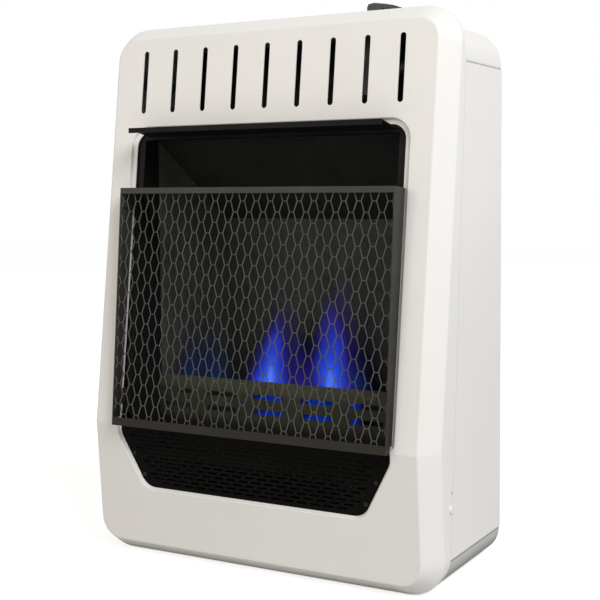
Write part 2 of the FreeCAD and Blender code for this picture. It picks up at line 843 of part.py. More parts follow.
def side_panel(side):
    """A flat panel with a stepped strip under the cover's flange and a return at the back."""
    skin = size.casing_skin
    low = size.bottom_seam
    high = size.top_seam
    strip = half_cover - size.cover_skin
    strip_low = max(low, size.cover_corner + skin)
    strip_high = min(high, size.cover_height - size.cover_corner - skin)
    tuck = side_edge(strip_low) - size.strip_tuck
    step = side_edge(strip_low) + size.strip_show
    slope = Vector(0, side_lean * (strip_high - strip_low), strip_high - strip_low)
    profile = [(strip, tuck), (strip, step + skin), (half_casing, step + skin),
               (half_casing, step + 4 * skin), (half_casing - skin, step + 4 * skin),
               (half_casing - skin, step), (strip - skin, step), (strip - skin, tuck)]
    stepped = prism([Vector(side * x, y, strip_low) for x, y in profile], slope)
    front = size.strip_show + skin
    edge = [(side_edge(low) + front, low), (size.casing_depth, low),
            (size.casing_depth, high), (side_edge(high) + front, high)]
    panel = plate_x(edge, side * half_casing, -side * skin)
    clear = size.seam_lap + skin
    inside = half_casing - size.back_return
    corner = Vector(inside if side > 0 else -half_casing, back_face - skin, low + clear)
    turn = Part.makeBox(size.back_return, skin, high - low - 2 * clear, corner)
    holes = [cover_screw_hole()]
    for k in range(3):
        holes.append(back_screw_hole(side, k))
    return stepped.fuse([panel, turn]).removeSplitter().cut(holes)


def back_screw_place(side, k):
    x = side * (half_casing - size.back_return / 2 - size.casing_skin)
    return Vector(x, size.casing_depth - size.back_recess, size.back_screw_low + k * size.back_screw_pitch)


def back_screw_hole(side, k):
    place = back_screw_place(side, k)
    radius = size.screw_radius + size.screw_play
    return Part.makeCylinder(radius, far, place - Vector(0, far / 2, 0), Vector(0, 1, 0))


solid_node("casing_side_left", side_panel(-1))
solid_node("casing_side_right", side_panel(1))


def wrap(label, front, low, high, bend, bent_at_top):
    """A sheet bent down or up at both sides, open towards the other wrap."""
    body = new_body(label, y=front)
    sketch = sketch_on(body, "XZ_Plane")
    rectangle(sketch, f"-({SIDE_FACE})", SIDE_FACE, low, high)
    block = pad(body, sketch, f"casing_depth - ({front})", reverse=True)
    limits = block.Shape.BoundBox
    bent = limits.ZMax if bent_at_top else limits.ZMin
    level = limits.ZMin if bent_at_top else limits.ZMax

    def long_edge(bounds):
        return flat(bounds.ZMin - bent) and flat(bounds.ZLength) and flat(bounds.XLength)

    def open_face(bounds):
        return flat(bounds.YLength) or (flat(bounds.ZLength) and flat(bounds.ZMin - level))

    bends = fillet(body, block, edges_where(block, long_edge), bend)
    hollow(body, bends, faces_where(bends, open_face), "casing_skin")
    return body


top = wrap("casing_top", "top_wrap_front", "top_seam - seam_lap", "casing_top_height", "top_bend", True)
sketch = sketch_on(top, "XY_Plane")
circle(sketch, "knob_x", "knob_y - top_wrap_front", "bonnet_radius + panel_play")
circle(sketch, "igniter_x", "igniter_y - top_wrap_front", "igniter_neck + panel_play")
pocket(top, sketch)

bottom_front = "side_foot_depth + wrap_gap"
bottom = wrap("casing_bottom", bottom_front, "0", "bottom_seam + seam_lap", "bottom_bend", False)
sketch = sketch_on(bottom, "XY_Plane")
circle(sketch, "regulator_x", f"regulator_y - ({bottom_front})", "inlet_access")
pocket(bottom, sketch)

back = new_body("casing_back", y=BACK_FACE)
sketch = sketch_on(back, "XZ_Plane")
inner_side = f"{SIDE_FACE} - casing_skin"
rectangle(sketch, f"-({inner_side})", inner_side, "casing_skin", "casing_top_height - casing_skin")
panel = pad(back, sketch, "casing_skin", reverse=True)
half_height = size.casing_top_height / 2
upper_edges = edges_where(panel, lambda b: flat(b.XLength) and flat(b.ZLength) and b.ZMin > half_height)
upper_bends = fillet(back, panel, upper_edges, "top_bend - casing_skin")
foot_line = 2 * size.casing_skin
lower_edges = edges_where(
    upper_bends, lambda b: flat(b.XLength) and flat(b.ZLength) and b.ZMax < foot_line)
fillet(back, upper_bends, lower_edges, "bottom_bend - casing_skin")
keyhole_steps = (("keyhole_entry", "keyhole_height"), ("keyhole_neck", "keyhole_height + keyhole_drop"))
for radius, height in keyhole_steps:
    sketch = sketch_on(back, "XZ_Plane")
    circle(sketch, "-keyhole_spacing / 2", height, radius)
    circle(sketch, "keyhole_spacing / 2", height, radius)
    pocket(back, sketch)
for side in ("-", ""):
    sketch = sketch_on(back, "XZ_Plane")
    keyhole_x = f"{side}keyhole_spacing / 2"
    rectangle(sketch, f"{keyhole_x} - keyhole_neck", f"{keyhole_x} + keyhole_neck",
              "keyhole_height", "keyhole_height + keyhole_drop")
    pocket(back, sketch)
    sketch = sketch_on(back, "XZ_Plane")
    screw_x = f"{side}(casing_width / 2 - back_return / 2 - casing_skin)"
    for k in range(3):
        circle(sketch, screw_x, f"back_screw_low + {k} * back_screw_pitch", "screw_radius + screw_play")
    pocket(back, sketch)

solid_node("cover_screws", Part.makeCompound(
    [pan_screw(cover_screw_place(side), Vector(-side, 0, 0), size.screw_reach) for side in (-1, 1)]))
solid_node("back_screws", Part.makeCompound(
    [pan_screw(back_screw_place(side, k), Vector(0, -1, 0), size.screw_reach)
     for side in (-1, 1) for k in range(3)]))


# Firebox

half_throat = size.throat_width / 2
half_guard = size.guard_width / 2
guard_tip = atan(size.guard_lean / size.guard_height)
flange_foot = size.crease_height + size.flange_foot_rise


def guard_height_of(local):
    """Height of an ear where it passes the flange, from its height along the guard."""
    rise = size.guard_low - size.crease_height + local * cos(guard_tip)
    run = flange_depth + lean_up * rise + size.guard_stand_off - local * tan(guard_tip)
    return size.guard_low + local * cos(guard_tip) - run * cos(guard_tip) * sin(guard_tip)


def ear_slot(side, local):
    """The slot in the flange that one ear hangs in, with room to lift the guard out."""
    low = guard_height_of(local) + size.ear_hook - size.ear_play
    high = guard_height_of(local + size.ear_height) + size.guard_lift + 2 * size.ear_play
    width = size.guard_skin + 2 * size.ear_play
    left = side * (half_guard - size.ear_inset - size.guard_skin * 1.5) - width / 2
    return Part.makeBox(width, far, high - low, Vector(left, -far / 2, low))


def firebox_front_shape():
    skin = size.firebox_skin
    half_flange = size.flange_width / 2
    top = size.throat_top
    frame = [(-half_flange, flange_foot), (-half_throat, flange_foot), (-half_throat, top),
             (half_throat, top), (half_throat, flange_foot), (half_flange, flange_foot),
             (half_flange, size.flange_top), (-half_flange, size.flange_top)]
    flange = plate_y(frame, flange_face, skin)
    slots = [ear_slot(side, local) for side in (-1, 1) for local in (size.ear_low, size.ear_high)]
    cheek = [(flange_face(top), top), (size.firebox_front, top), (size.firebox_front, size.deck_height),
             (size.deck_front, size.deck_height), (size.deck_front, size.crease_height),
             (flange_face(flange_foot), flange_foot)]
    lid = [(flange_face(top), top), (size.firebox_front, top),
           (size.firebox_front, top + skin), (flange_face(top + skin), top + skin)]
    throat = [plate_x(cheek, half_throat, skin), plate_x(cheek, -half_throat, -skin),
              plate_x(lid, -half_throat - skin, 2 * (half_throat + skin))]
    return flange.cut(slots).fuse(throat).removeSplitter()


solid_node("firebox_front", firebox_front_shape())

wall_taper = (size.throat_width - size.firebox_back_width) / 2 / (size.firebox_back - size.firebox_front)
baffle_slope = (size.baffle_low - size.throat_top) / (size.firebox_back - size.firebox_front)


def wall_x(y):
    """Half the firebox's inner width at a depth."""
    return half_throat - wall_taper * (y - size.firebox_front)


def baffle_height(y):
    """Height of the baffle's underside at a depth."""
    return size.throat_top + baffle_slope * (y - size.firebox_front)


above_baffle = plate_x([(0, baffle_height(0)), (size.casing_depth, baffle_height(size.casing_depth)),
                        (size.casing_depth, far), (0, far)], -far / 2, far)
spark_run_z = size.deck_height + 17 * size.spark_lead_radius
thermo_run_z = size.deck_height + 5 * size.thermo_lead_radius
way_half = size.pilot_tube_radius + size.tube_play
way_low = thermo_run_z - size.thermo_lead_radius - size.tube_play
way_high = spark_run_z + size.spark_lead_radius + size.tube_play
pilot_way = Part.makeBox(far, 2 * way_half, way_high - way_low,
                         Vector(0, size.pilot_depth - way_half, way_low))
venturi_way = Part.makeCylinder(size.venturi_radius + size.venturi_play, far,
                                Vector(0, size.burner_depth, size.venturi_height), Vector(1, 0, 0))


def firebox_wall(side):
    front = size.firebox_front
    back = size.firebox_back
    skin = size.firebox_skin
    plan = [(wall_x(front), front), (wall_x(front) + skin, front),
            (wall_x(back) + skin, back), (wall_x(back), back)]
    ring = [Vector(side * x, y, size.deck_height) for x, y in plan]
    wall = prism(ring, Vector(0, 0, size.throat_top - size.deck_height + skin))
    return wall.cut(above_baffle)


solid_node("firebox_wall_left", firebox_wall(-1))
solid_node("firebox_wall_right", firebox_wall(1).cut([pilot_way, venturi_way]))

half_back = wall_x(size.firebox_back) + size.firebox_skin
back_plate = Part.makeBox(2 * half_back, size.firebox_skin, size.throat_top - size.deck_height,
                          Vector(-half_back, size.firebox_back, size.deck_height))
solid_node("firebox_back", back_plate.cut(above_baffle))


def baffle_shape():
    front = size.firebox_front
    back = size.firebox_back + size.firebox_skin
    rise = size.firebox_skin * hypot(1, baffle_slope)
    sheet_section = [(front, baffle_height(front)), (back, baffle_height(back)),
                     (back, baffle_height(back) + rise), (front, baffle_height(front) + rise)]
    wide = half_throat + size.firebox_skin
    slab = plate_x(sheet_section, -wide, 2 * wide)
    plan = [(-wide, front), (wide, front), (half_back, back), (-half_back, back)]
    return slab.common(prism([Vector(x, y, 0) for x, y in plan], Vector(0, 0, far)))


solid_node("firebox_baffle", baffle_shape())

deck_plate = box(f"-({SIDE_FACE})", "deck_front", "deck_height - deck_skin",
                 f"2 * ({SIDE_FACE})", f"{BACK_FACE} - casing_skin - deck_front", "deck_skin")
supply_way = rod("supply_radius + tube_play", "2 * deck_skin",
                 "supply_x", "regulator_y", "deck_height - 1.5 * deck_skin")
capillary_way = rod("capillary_radius + tube_play", "2 * deck_skin",
                    "capillary_x", f"{BACK_FACE} - bulb_radius - clip_wall", "deck_height - 1.5 * deck_skin")
node(cut(deck_plate, supply_way, capillary_way), "firebox_deck")


# Hood: a sheet that hangs by a tab on the flange, rises forward and turns down at its lip

def flange_at(height):
    return f"lip_depth + flange_gap + {LEAN} * ({height} - crease_height)"


hood = new_body("hood")
sketch = sketch_on(hood, "YZ_Plane")
tab_top = "hood_root + hood_tab"
outline(sketch, [
    (flange_at(f"({tab_top})"), tab_top),
    (flange_at("hood_root"), "hood_root"),
    ("hood_front + hood_skin", "hood_height - hood_skin"),
    ("hood_front + hood_skin", "hood_height - hood_lip"),
    ("hood_front", "hood_height - hood_lip"),
    ("hood_front", "hood_height"),
    (f"{flange_at('hood_root')} - hood_skin", "hood_root + hood_skin"),
    (f"{flange_at(f'({tab_top})')} - hood_skin", tab_top),
])
pad(hood, sketch, "hood_width", middle=True)


# Guard: an open-backed tray with a window, hung on the flange by four hooked ears

guard_turn = Rotation(Vector(-1, 0, 0), degrees(guard_tip))
guard = new_body("guard_frame", y="-guard_stand_off", z="guard_low")
guard.Placement = Placement(guard.Placement.Base, guard_turn)
guard.setExpression("Placement.Rotation.Angle", ex("atan(guard_lean / guard_height)"))
sketch = sketch_on(guard, "XZ_Plane")
rectangle(sketch, "-guard_width / 2", "guard_width / 2", "0", "guard_height")
tray = pad(guard, sketch, "guard_depth", reverse=True)
rear = faces_where(tray, lambda b: flat(b.YLength) and flat(b.YMin - size.guard_depth))
hollow(guard, tray, rear, "guard_skin")
sketch = sketch_on(guard, "XZ_Plane")
rectangle(sketch, "-(guard_width / 2 - guard_skin)", "guard_width / 2 - guard_skin",
          "guard_bottom_bar", "guard_height - guard_top_bar")
pocket(guard, sketch)
sketch = sketch_on(guard, "YZ_Plane")
outline(sketch, [
    ("guard_relief_depth", "-guard_skin"),
    ("2 * guard_depth", "-guard_skin"),
    ("2 * guard_depth", "guard_height + guard_skin"),
    ("guard_depth", "guard_height + guard_skin"),
    ("guard_foot_depth", "guard_relief"),
    ("guard_relief_depth", "guard_relief"),
])
pocket(guard, sketch)


def flange_from_guard(local):
    """Depth of the flange behind the guard's face, at a height along the guard."""
    rise = f"guard_low - crease_height + ({local}) * cos(atan(guard_lean / guard_height))"
    fall = f"guard_stand_off - guard_lean / guard_height * ({local})"
    run = f"lip_depth + flange_gap + {LEAN} * ({rise}) + {fall}"
    return f"({run}) * cos(atan(guard_lean / guard_height)) - {LEAN} * ear_hook / 4"


ear_root = "guard_foot_depth / 3"
sketch = sketch_on(guard, "YZ_Plane", "guard_width / 2 - 2 * guard_skin - ear_inset")
for ear in ("ear_low", "ear_high"):
    near = f"{flange_from_guard(ear)} - ear_play"
    beyond = f"{flange_from_guard(ear)} + firebox_skin + ear_play"
    outline(sketch, [
        (ear_root, ear),
        (near, ear),
        (near, f"{ear} + ear_hook"),
        (beyond, f"{ear} + ear_hook"),
        (beyond, ear),
        (f"{beyond} + ear_tip", ear),
        (f"{beyond} + ear_tip", f"{ear} + ear_height"),
        (ear_root, f"{ear} + ear_height"),
    ])
ears = pad(guard, sketch, "guard_skin")
sketch = sketch_on(guard, "YZ_Plane", "guard_width / 2 - 1.5 * guard_skin - ear_inset")
for ear in ("ear_low", "ear_high"):
    rectangle(sketch, ear_root, f"2 * {ear_root}", f"{ear} + guard_skin", f"{ear} + ear_height - guard_skin")
roots = pad(guard, sketch, "ear_inset + guard_skin")
mirror = guard.newObject("PartDesign::Mirrored", "mirror")
mirror.Originals = [ears, roots]
mirror.MirrorPlane = (plane_of(guard, "YZ_Plane"), [""])
guard.Tip = mirror
doc.recompute()


def mesh_shape():
    """Expanded metal: upright hexagonal gaps in two staggered sets, cut off at the frame."""
    right = half_guard - size.guard_skin - size.mesh_edge
    low = size.guard_skin + size.mesh_edge
    high = size.guard_height - size.guard_skin - size.mesh_edge
    window_low = size.guard_bottom_bar
    window_high = size.guard_height - size.guard_top_bar
    pitch_x = 2 * right / size.mesh_columns
    pitch_z = (window_high - window_low) / size.mesh_rows
    half_bond = size.mesh_bond / 2
    half_cell = (pitch_x - size.mesh_bond) / 2
    cell = [(-half_bond, -pitch_z / 2), (half_bond, -pitch_z / 2), (half_cell, 0),
            (half_bond, pitch_z / 2), (-half_bond, pitch_z / 2), (-half_cell, 0)]
    cell = grown(cell, -size.mesh_strand / 2)
    edge = size.mesh_strand
    gaps = []
    for column in range(2 * int(size.mesh_columns) + 3):
        x = -right + column * pitch_x / 2
        for row in range(int(size.mesh_rows) + 2):
            z = window_low + (row + (column % 2) / 2) * pitch_z
            gap = [(x + u, z + v) for u, v in cell]
            gap = clipped(gap, -right + edge, right - edge, window_low, window_high)
            if len(gap) > 2 and area(gap) > pitch_x:
                gaps.append(gap)
    print("mesh gaps", len(gaps))
    border = [(-right, low), (right, low), (right, high), (-right, high)]
    return plate_y(border, lambda z: size.guard_skin, size.mesh_skin, gaps)


guard_place = Placement(Vector(0, shift - size.guard_stand_off, size.guard_low), guard_turn)
solid_node("guard_mesh", mesh_shape(), guard_place)


# Lower grille: a perforated plate against the lip, with staggered rows of short slits

def opening_half(z):
    """Half the width of the cover's opening at a height below its waist."""
    share = (size.opening_waist - z) / (size.opening_waist - size.opening_foot)
    inward = (size.opening_width - size.foot_width) / 2
    return size.opening_width / 2 - max(0, share) * inward


def grille_face(z):
    return size.lip_depth + lean_down * (size.crease_height - z)


def grille_screw_places():
    places = []
    for fall in (size.grille_screw_lower, size.grille_screw_upper):
        z = size.opening_waist - fall
        x = opening_half(z) - size.grille_screw_inset
        places += [Vector(-x, grille_face(z), z), Vector(x, grille_face(z), z)]
    return places


def grille_shape():
    half_hole = size.opening_width / 2
    half_foot = size.foot_width / 2
    window = [(-half_foot, size.opening_foot), (half_foot, size.opening_foot),
              (half_hole, size.opening_waist), (half_hole, size.crease_height),
              (-half_hole, size.crease_height), (-half_hole, size.opening_waist)]
    edge = clipped(grown(window, size.grille_lap), -far, far, -far, size.grille_top)
    slits = []
    row = 0
    z = size.opening_foot + size.grille_rim
    while z < size.grille_top - size.grille_rim / 2:
        room = opening_half(z) - size.grille_screw_inset - size.screw_head * size.small_screw
        reach = int(room / size.perforation_pitch) + 1
        for k in range(-reach, reach + 1):
            x = (k + (row % 2) / 2) * size.perforation_pitch
            if abs(x) + size.perforation_length / 2 > room:
                continue
            half_length = size.perforation_length / 2
            half_height = size.perforation_height / 2
            slits.append([(x - half_length, z - half_height), (x + half_length, z - half_height),
                          (x + half_length, z + half_height), (x - half_length, z + half_height)])
        z += size.perforation_row
        row += 1
    print("grille slits", len(slits))
    plate = plate_y(edge, grille_face, size.grille_skin, slits)
    radius = size.screw_radius * size.small_screw + size.screw_play
    return plate.cut([Part.makeCylinder(radius, far, place - Vector(0, far / 2, 0), Vector(0, 1, 0))
                      for place in grille_screw_places()])


solid_node("lower_grille", grille_shape())
grille_normal = Vector(0, 1, lean_down).normalize()
solid_node("grille_screws", Part.makeCompound(
    [pan_screw(place, grille_normal, size.grille_screw_reach, size.small_screw)
     for place in grille_screw_places()]))


# Burner shield, burner and jet

shield = new_body("burner_shield", y="shield_depth")
sketch = sketch_on(shield, "XZ_Plane")
rectangle(sketch, "-shield_width / 2", "shield_width / 2", "deck_height", "shield_top")
pad(shield, sketch, "shield_skin", reverse=True)
sketch = sketch_on(shield, "XZ_Plane")
rectangle(sketch, "-shield_width / 2", "shield_width / 2", "deck_height", "deck_height + shield_skin")
pad(shield, sketch, "shield_foot", reverse=True)
sketch = sketch_on(shield, "XZ_Plane")
rectangle(sketch, PORT_LEFT, f"{PORT_LEFT} + port_length",
          "port_low - port_height / 2", "port_low + port_height / 2")
first_port = pocket(shield, sketch)
ports = shield.newObject("PartDesign::LinearPattern", "ports")
ports.Originals = [first_port]
ports.Direction = (sketch, ["H_Axis"])
ports.Direction2 = (sketch, ["V_Axis"])
ports.setExpression("Length", ex("(port_groups - 1) * port_pitch"))
ports.setExpression("Occurrences", ex("port_groups"))
ports.setExpression("Length2", ex("port_rise"))
ports.Occurrences2 = 2
shield.Tip = ports
doc.recompute()

burner_front = "burner_depth - burner_width / 2"
burner_case = box(BURNER_LEFT, burner_front, "burner_low", "burner_length", "burner_width", "burner_height")
burner_space = box(f"{BURNER_LEFT} + burner_skin", f"{burner_front} + burner_skin",
                   "burner_low + burner_skin", "burner_length - 2 * burner_skin",
                   "burner_width - 2 * burner_skin", "burner_height - 2 * burner_skin")
venturi_at = ("burner_depth", "venturi_height", "x")
venturi = rod("venturi_radius", "venturi_reach", BURNER_RIGHT, *venturi_at)
bell_start = f"{BURNER_RIGHT} + venturi_reach * 0.8"
bell = cone("venturi_radius", "venturi_mouth", "venturi_reach * 0.2", bell_start, *venturi_at)
bore = rod("venturi_radius - burner_skin", "venturi_reach + 2 * burner_skin",
           f"{BURNER_RIGHT} - 1.5 * burner_skin", *venturi_at)
bell_bore = cone("venturi_radius - burner_skin", "venturi_mouth - burner_skin", "venturi_reach * 0.2",
                 bell_start, *venturi_at)
burner_slits = []
for k in range(int(size.port_groups)):
    for rank in (-1, 1):
        burner_slits.append(box(f"{FLAME_LEFT} + {k} * flame_pitch",
                                f"burner_depth + {rank} * burner_width / 5 - burner_port / 2",
                                "burner_top - 2 * burner_skin",
                                "flame_length", "burner_port", "3 * burner_skin"))
node(cut(joined(burner_case, venturi, bell), burner_space, bore, bell_bore, *burner_slits), "burner")

burner_legs = []
for x in (f"{BURNER_LEFT} + burner_width", f"{BURNER_RIGHT} - burner_width"):
    leg = box(x, burner_front, "deck_height", "bracket_skin", "burner_width", "burner_low - deck_height")
    foot = box(x, burner_front, "deck_height", "burner_width / 2", "burner_width", "bracket_skin")
    burner_legs.append(joined(leg, foot))
legs = doc.addObject("Part::Compound", "legs")
legs.Links = burner_legs
node(legs, "burner_brackets")

jet_body = rod("jet_radius", "jet_length", JET_TIP, *venturi_at)
jet_hole = rod("jet_radius / 5", "jet_length * 3", f"{JET_TIP} - jet_length", *venturi_at)
node(cut(jet_body, jet_hole), "injector")
jet_low = "venturi_height - jet_block / 2"
jet_front = "burner_depth - jet_block / 2"
node(box(JET_FACE, jet_front, jet_low, "jet_block", "jet_block", "jet_block"), "injector_holder")
jet_leg = box(f"{JET_FACE} + jet_block / 4", jet_front, "deck_height", "bracket_skin", "jet_block",
              f"{jet_low} - deck_height")
jet_foot = box(f"{JET_FACE} + jet_block / 4", jet_front, "deck_height",
               "jet_block * 0.6", "jet_block", "bracket_skin")
node(joined(jet_leg, jet_foot), "injector_bracket")


# Pilot

thermo_x = "pilot_x - pilot_pitch"
spark_x = "pilot_x + pilot_pitch"
plate_left = f"{thermo_x} - pilot_pitch"
plate_width = "4 * pilot_pitch"
plate_back = "pilot_depth - pilot_pitch"
shelf_depth = "2 * pilot_pitch - bracket_skin"
pilot_leg = box(plate_left, f"{plate_back} - bracket_skin", "deck_height", plate_width, "bracket_skin",
                f"{SHELF_TOP} - deck_height")
pilot_shelf = box(plate_left, plate_back, "pilot_shelf", plate_width, shelf_depth, "bracket_skin")
shelf_holes = []
shelf_sticks = ((thermo_x, "thermocouple_radius"), ("pilot_x", "pilot_radius"), (spark_x, "insulator_radius"))
for x, radius in shelf_sticks:
    shelf_holes.append(rod(f"{radius} + pilot_play", "3 * bracket_skin", x, "pilot_depth",
                           "pilot_shelf - bracket_skin"))
node(cut(joined(pilot_leg, pilot_shelf), *shelf_holes), "pilot_bracket")


def shelf_piece(label, x, radius, below, above, bore_radius=None):
    """A round piece through the shelf, with a collar that sits on it."""
    low = f"pilot_shelf - {below} * pilot_pitch"
    stick = rod(radius, f"{below + above} * pilot_pitch + bracket_skin", x, "pilot_depth", low)
    collar = rod(f"{radius} + bracket_skin", "bracket_skin", x, "pilot_depth", SHELF_TOP)
    piece = joined(stick, collar)
    if bore_radius:
        hole = rod(bore_radius, "10 * pilot_pitch", x, "pilot_depth", "pilot_shelf - 5 * pilot_pitch")
        piece = cut(piece, hole)
    return node(piece, label)


shelf_piece("pilot_burner", "pilot_x", "pilot_radius", 1.2, 1.8)
shelf_piece("thermocouple", thermo_x, "thermocouple_radius", 1.5, 2.6)
shelf_piece("electrode_insulator", spark_x, "insulator_radius", 1.2, 1.4, "electrode_radius")
node(rod("electrode_radius", "3.8 * pilot_pitch + bracket_skin", spark_x, "pilot_depth",
         "pilot_shelf - 1.2 * pilot_pitch"), "electrode_rod")


# Gas valve, its bracket, and the stem and knob that push and turn

valve_left = "knob_x - valve_width / 2"
valve_right = "knob_x + valve_width / 2"
valve_front = "knob_y - valve_depth / 2"
inlet_y = "regulator_y"
inlet_z = "valve_low + 25"
pilot_port_y = "knob_y + valve_depth / 2 - boss_reach"
pilot_port_z = "valve_low + 10"
thermo_port_y = "knob_y - 1.5 * boss_reach"
thermo_port_z = "valve_low + boss_reach"
bulb_port_z = "valve_low + 15"
valve_block = box(valve_left, valve_front, "valve_low",
                  "valve_width", "valve_depth", f"{VALVE_TOP} - valve_low")
bonnet_height = "casing_skin + bracket_skin + bonnet_rise"
valve_parts = [
    valve_block,
    rod("bonnet_radius", bonnet_height, "knob_x", "knob_y", VALVE_TOP),
    rod("supply_radius + casing_skin * 3", "boss_reach", valve_right, inlet_y, inlet_z, "x"),
    rod("feed_radius + casing_skin * 3", "boss_reach", valve_right, "burner_depth", inlet_z, "x"),
    rod("pilot_tube_radius + casing_skin * 2", "boss_reach", valve_right, pilot_port_y, pilot_port_z, "x"),
    rod("thermo_lead_radius + casing_skin * 2", "boss_reach", valve_right, thermo_port_y, thermo_port_z, "x"),
    rod("capillary_radius + casing_skin * 2", "boss_reach",
        "knob_x", "knob_y + valve_depth / 2", bulb_port_z, "y"),
]
ring_top = f"{VALVE_TOP} - ring_drop"
ring_low = f"{ring_top} - ring_height"
ring_room = f"{ring_low} - 2 * knob_push"
stem_low = f"{ring_low} - knob_push"
bonnet_space = rod("bonnet_bore", f"{VALVE_TOP} - ({ring_room}) + 4 * casing_skin + 2 * bonnet_rise",
                   "knob_x", "knob_y", ring_room)
stem_space = rod("stem_radius + panel_play", "3 * knob_push",
                 "knob_x", "knob_y", f"{ring_room} - 2 * knob_push")
node(cut(joined(*valve_parts), bonnet_space, stem_space), "gas_valve")

bracket_plate = box(f"{valve_left} - bonnet_radius / 2", f"{valve_front} - bonnet_radius / 2", VALVE_TOP,
                    "valve_width + bonnet_radius", "valve_depth + bonnet_radius", "bracket_skin")
bracket_hole = rod("bonnet_radius + panel_play", "3 * bracket_skin",
                   "knob_x", "knob_y", f"{VALVE_TOP} - bracket_skin")
node(cut(bracket_plate, bracket_hole), "valve_bracket")

ring_body = rod("bonnet_bore - stem_play * 2", "ring_height", "knob_x", "knob_y", ring_low)
ring_bore = rod("stem_radius + stem_play", "3 * ring_height", "knob_x", "knob_y", f"{ring_low} - ring_height")
node(cut(ring_body, ring_bore), "thrust_ring")

stem = new_body("valve_stem", "knob_x", "knob_y")
collar_low = f"{ring_top} + collar_gap"
revolution(stem, [
    ("0", stem_low),
    ("stem_radius", stem_low),
    ("stem_radius", collar_low),
    ("collar_radius", collar_low),
    ("collar_radius", f"{collar_low} + bracket_skin"),
    ("stem_radius", f"{collar_low} + bracket_skin"),
    ("stem_radius", "stem_top"),
    ("0", "stem_top"),
])

knob = new_body("control_knob", "knob_x", "knob_y")
revolution(knob, [
    ("stem_radius", "knob_base"),
    ("knob_radius", "knob_base"),
    ("knob_radius", "knob_skirt - 2 * cover_skin"),
    ("knob_radius - 2 * cover_skin", "knob_skirt"),
    ("grip_width / 2", "knob_skirt"),
    ("grip_width / 2", "stem_top + 2 * cover_skin"),
    ("0", "stem_top + 2 * cover_skin"),
    ("0", "stem_top"),
    ("stem_radius", "stem_top"),
])
sketch = sketch_on(knob, "XZ_Plane")
outline(sketch, [
    ("-knob_radius + cover_skin", "knob_skirt - cover_skin"),
    ("-stem_radius", "knob_skirt - cover_skin"),
    ("-stem_radius", "stem_top"),
    ("stem_radius", "stem_top"),
    ("stem_radius", "knob_skirt - cover_skin"),
    ("knob_radius - cover_skin", "knob_skirt - cover_skin"),
    ("knob_radius - 2 * cover_skin", "knob_skirt + 3 * cover_skin"),
    ("0.4 * knob_radius", "knob_top - 4 * cover_skin"),
    ("0", "knob_top - 2 * cover_skin"),
    ("-0.6 * knob_radius", "knob_top"),
    ("-knob_radius + 2.5 * cover_skin", "knob_top - cover_skin"),
    ("-knob_radius + cover_skin", "knob_top - 4 * cover_skin"),
])
pad(knob, sketch, "grip_width", middle=True)


# Piezo igniter

igniter_top = "casing_top_height - casing_skin"
neck_top = "casing_top_height + igniter_rise"
button_low = "button_top - 4 * button_travel"
igniter_barrel = rod("igniter_radius", f"{igniter_top} - igniter_low",
                     "igniter_x", "igniter_y", "igniter_low")
igniter_neck = rod("igniter_neck", f"{neck_top} - ({igniter_top})", "igniter_x", "igniter_y", igniter_top)
terminal = rod("spark_lead_radius * 2", "button_travel",
               "igniter_x", "igniter_y", "igniter_low - button_travel")
button_room = f"{button_low} - button_travel - 2 * panel_play"
button_space = rod("button_radius + button_play", f"{neck_top} - ({button_room}) + bezel_radius",
                   "igniter_x", "igniter_y", button_room)
node(cut(joined(igniter_barrel, igniter_neck, terminal), button_space), "igniter_body")

bezel_disc = rod("bezel_radius", "igniter_rise", "igniter_x", "igniter_y", "casing_top_height")
bezel_hole = rod("igniter_neck", "3 * igniter_rise",
                 "igniter_x", "igniter_y", "casing_top_height - igniter_rise")
node(cut(bezel_disc, bezel_hole), "igniter_bezel")

button = new_body("igniter_button", "igniter_x", "igniter_y")
revolution(button, [
    ("0", button_low),
    ("button_radius", button_low),
    ("button_radius", "button_top - cover_skin"),
    ("button_radius - cover_skin", "button_top"),
    ("0", "button_top"),
])


# Regulator with its bracket and the inlet fitting

regulator = new_body("regulator", "regulator_x", "regulator_y")
regulator_middle = "(regulator_low + regulator_top) / 2"
revolution(regulator, [
    ("0", "regulator_low"),
    ("inlet_hex", "regulator_low"),
    ("inlet_hex", "regulator_low + 6 * bracket_skin"),
    ("regulator_radius", f"{regulator_middle} - 6 * bracket_skin"),
    ("regulator_radius", f"{regulator_middle} + 6 * bracket_skin"),
    ("inlet_hex", "regulator_top - 4 * bracket_skin"),
    ("inlet_hex", "regulator_top"),
    ("0", "regulator_top"),
])
sketch = sketch_on(regulator, "YZ_Plane", "regulator_radius / 2")
circle(sketch, "0", regulator_middle, "supply_radius + 2 * bracket_skin")
pad(regulator, sketch, "regulator_radius / 2 + boss_reach")

strap_width = "3 * inlet_hex"
strap_left = "regulator_x - 1.5 * inlet_hex"
strap_front = "regulator_y - inlet_hex"
strap = box(strap_left, strap_front, "regulator_top", strap_width, "2 * inlet_hex", "bracket_skin")
strap_height = "deck_height - deck_skin - regulator_top"
left_leg = box(strap_left, strap_front, "regulator_top", "bracket_skin", "2 * inlet_hex", strap_height)
right_leg = box(f"{strap_left} + {strap_width} - bracket_skin", strap_front, "regulator_top", "bracket_skin",
                "2 * inlet_hex", strap_height)
node(joined(strap, left_leg, right_leg), "regulator_bracket")

hexagon = doc.addObject("Part::Prism", "hexagon")
hexagon.Polygon = 6
hexagon.setExpression("Circumradius", ex("inlet_hex"))
hexagon.setExpression("Height", ex("inlet_hex_height"))
seat(hexagon, "regulator_x", "regulator_y", "regulator_low - inlet_hex_height")
thread = rod("inlet_radius", "regulator_low - inlet_hex_height - inlet_end",
             "regulator_x", "regulator_y", "inlet_end")
inlet_hole = rod("inlet_bore", "2 * regulator_low", "regulator_x", "regulator_y", "-inlet_end")
node(cut(joined(hexagon, thread), inlet_hole), "inlet_fitting")


# Tubes and leads, each along straight runs and tangent bends

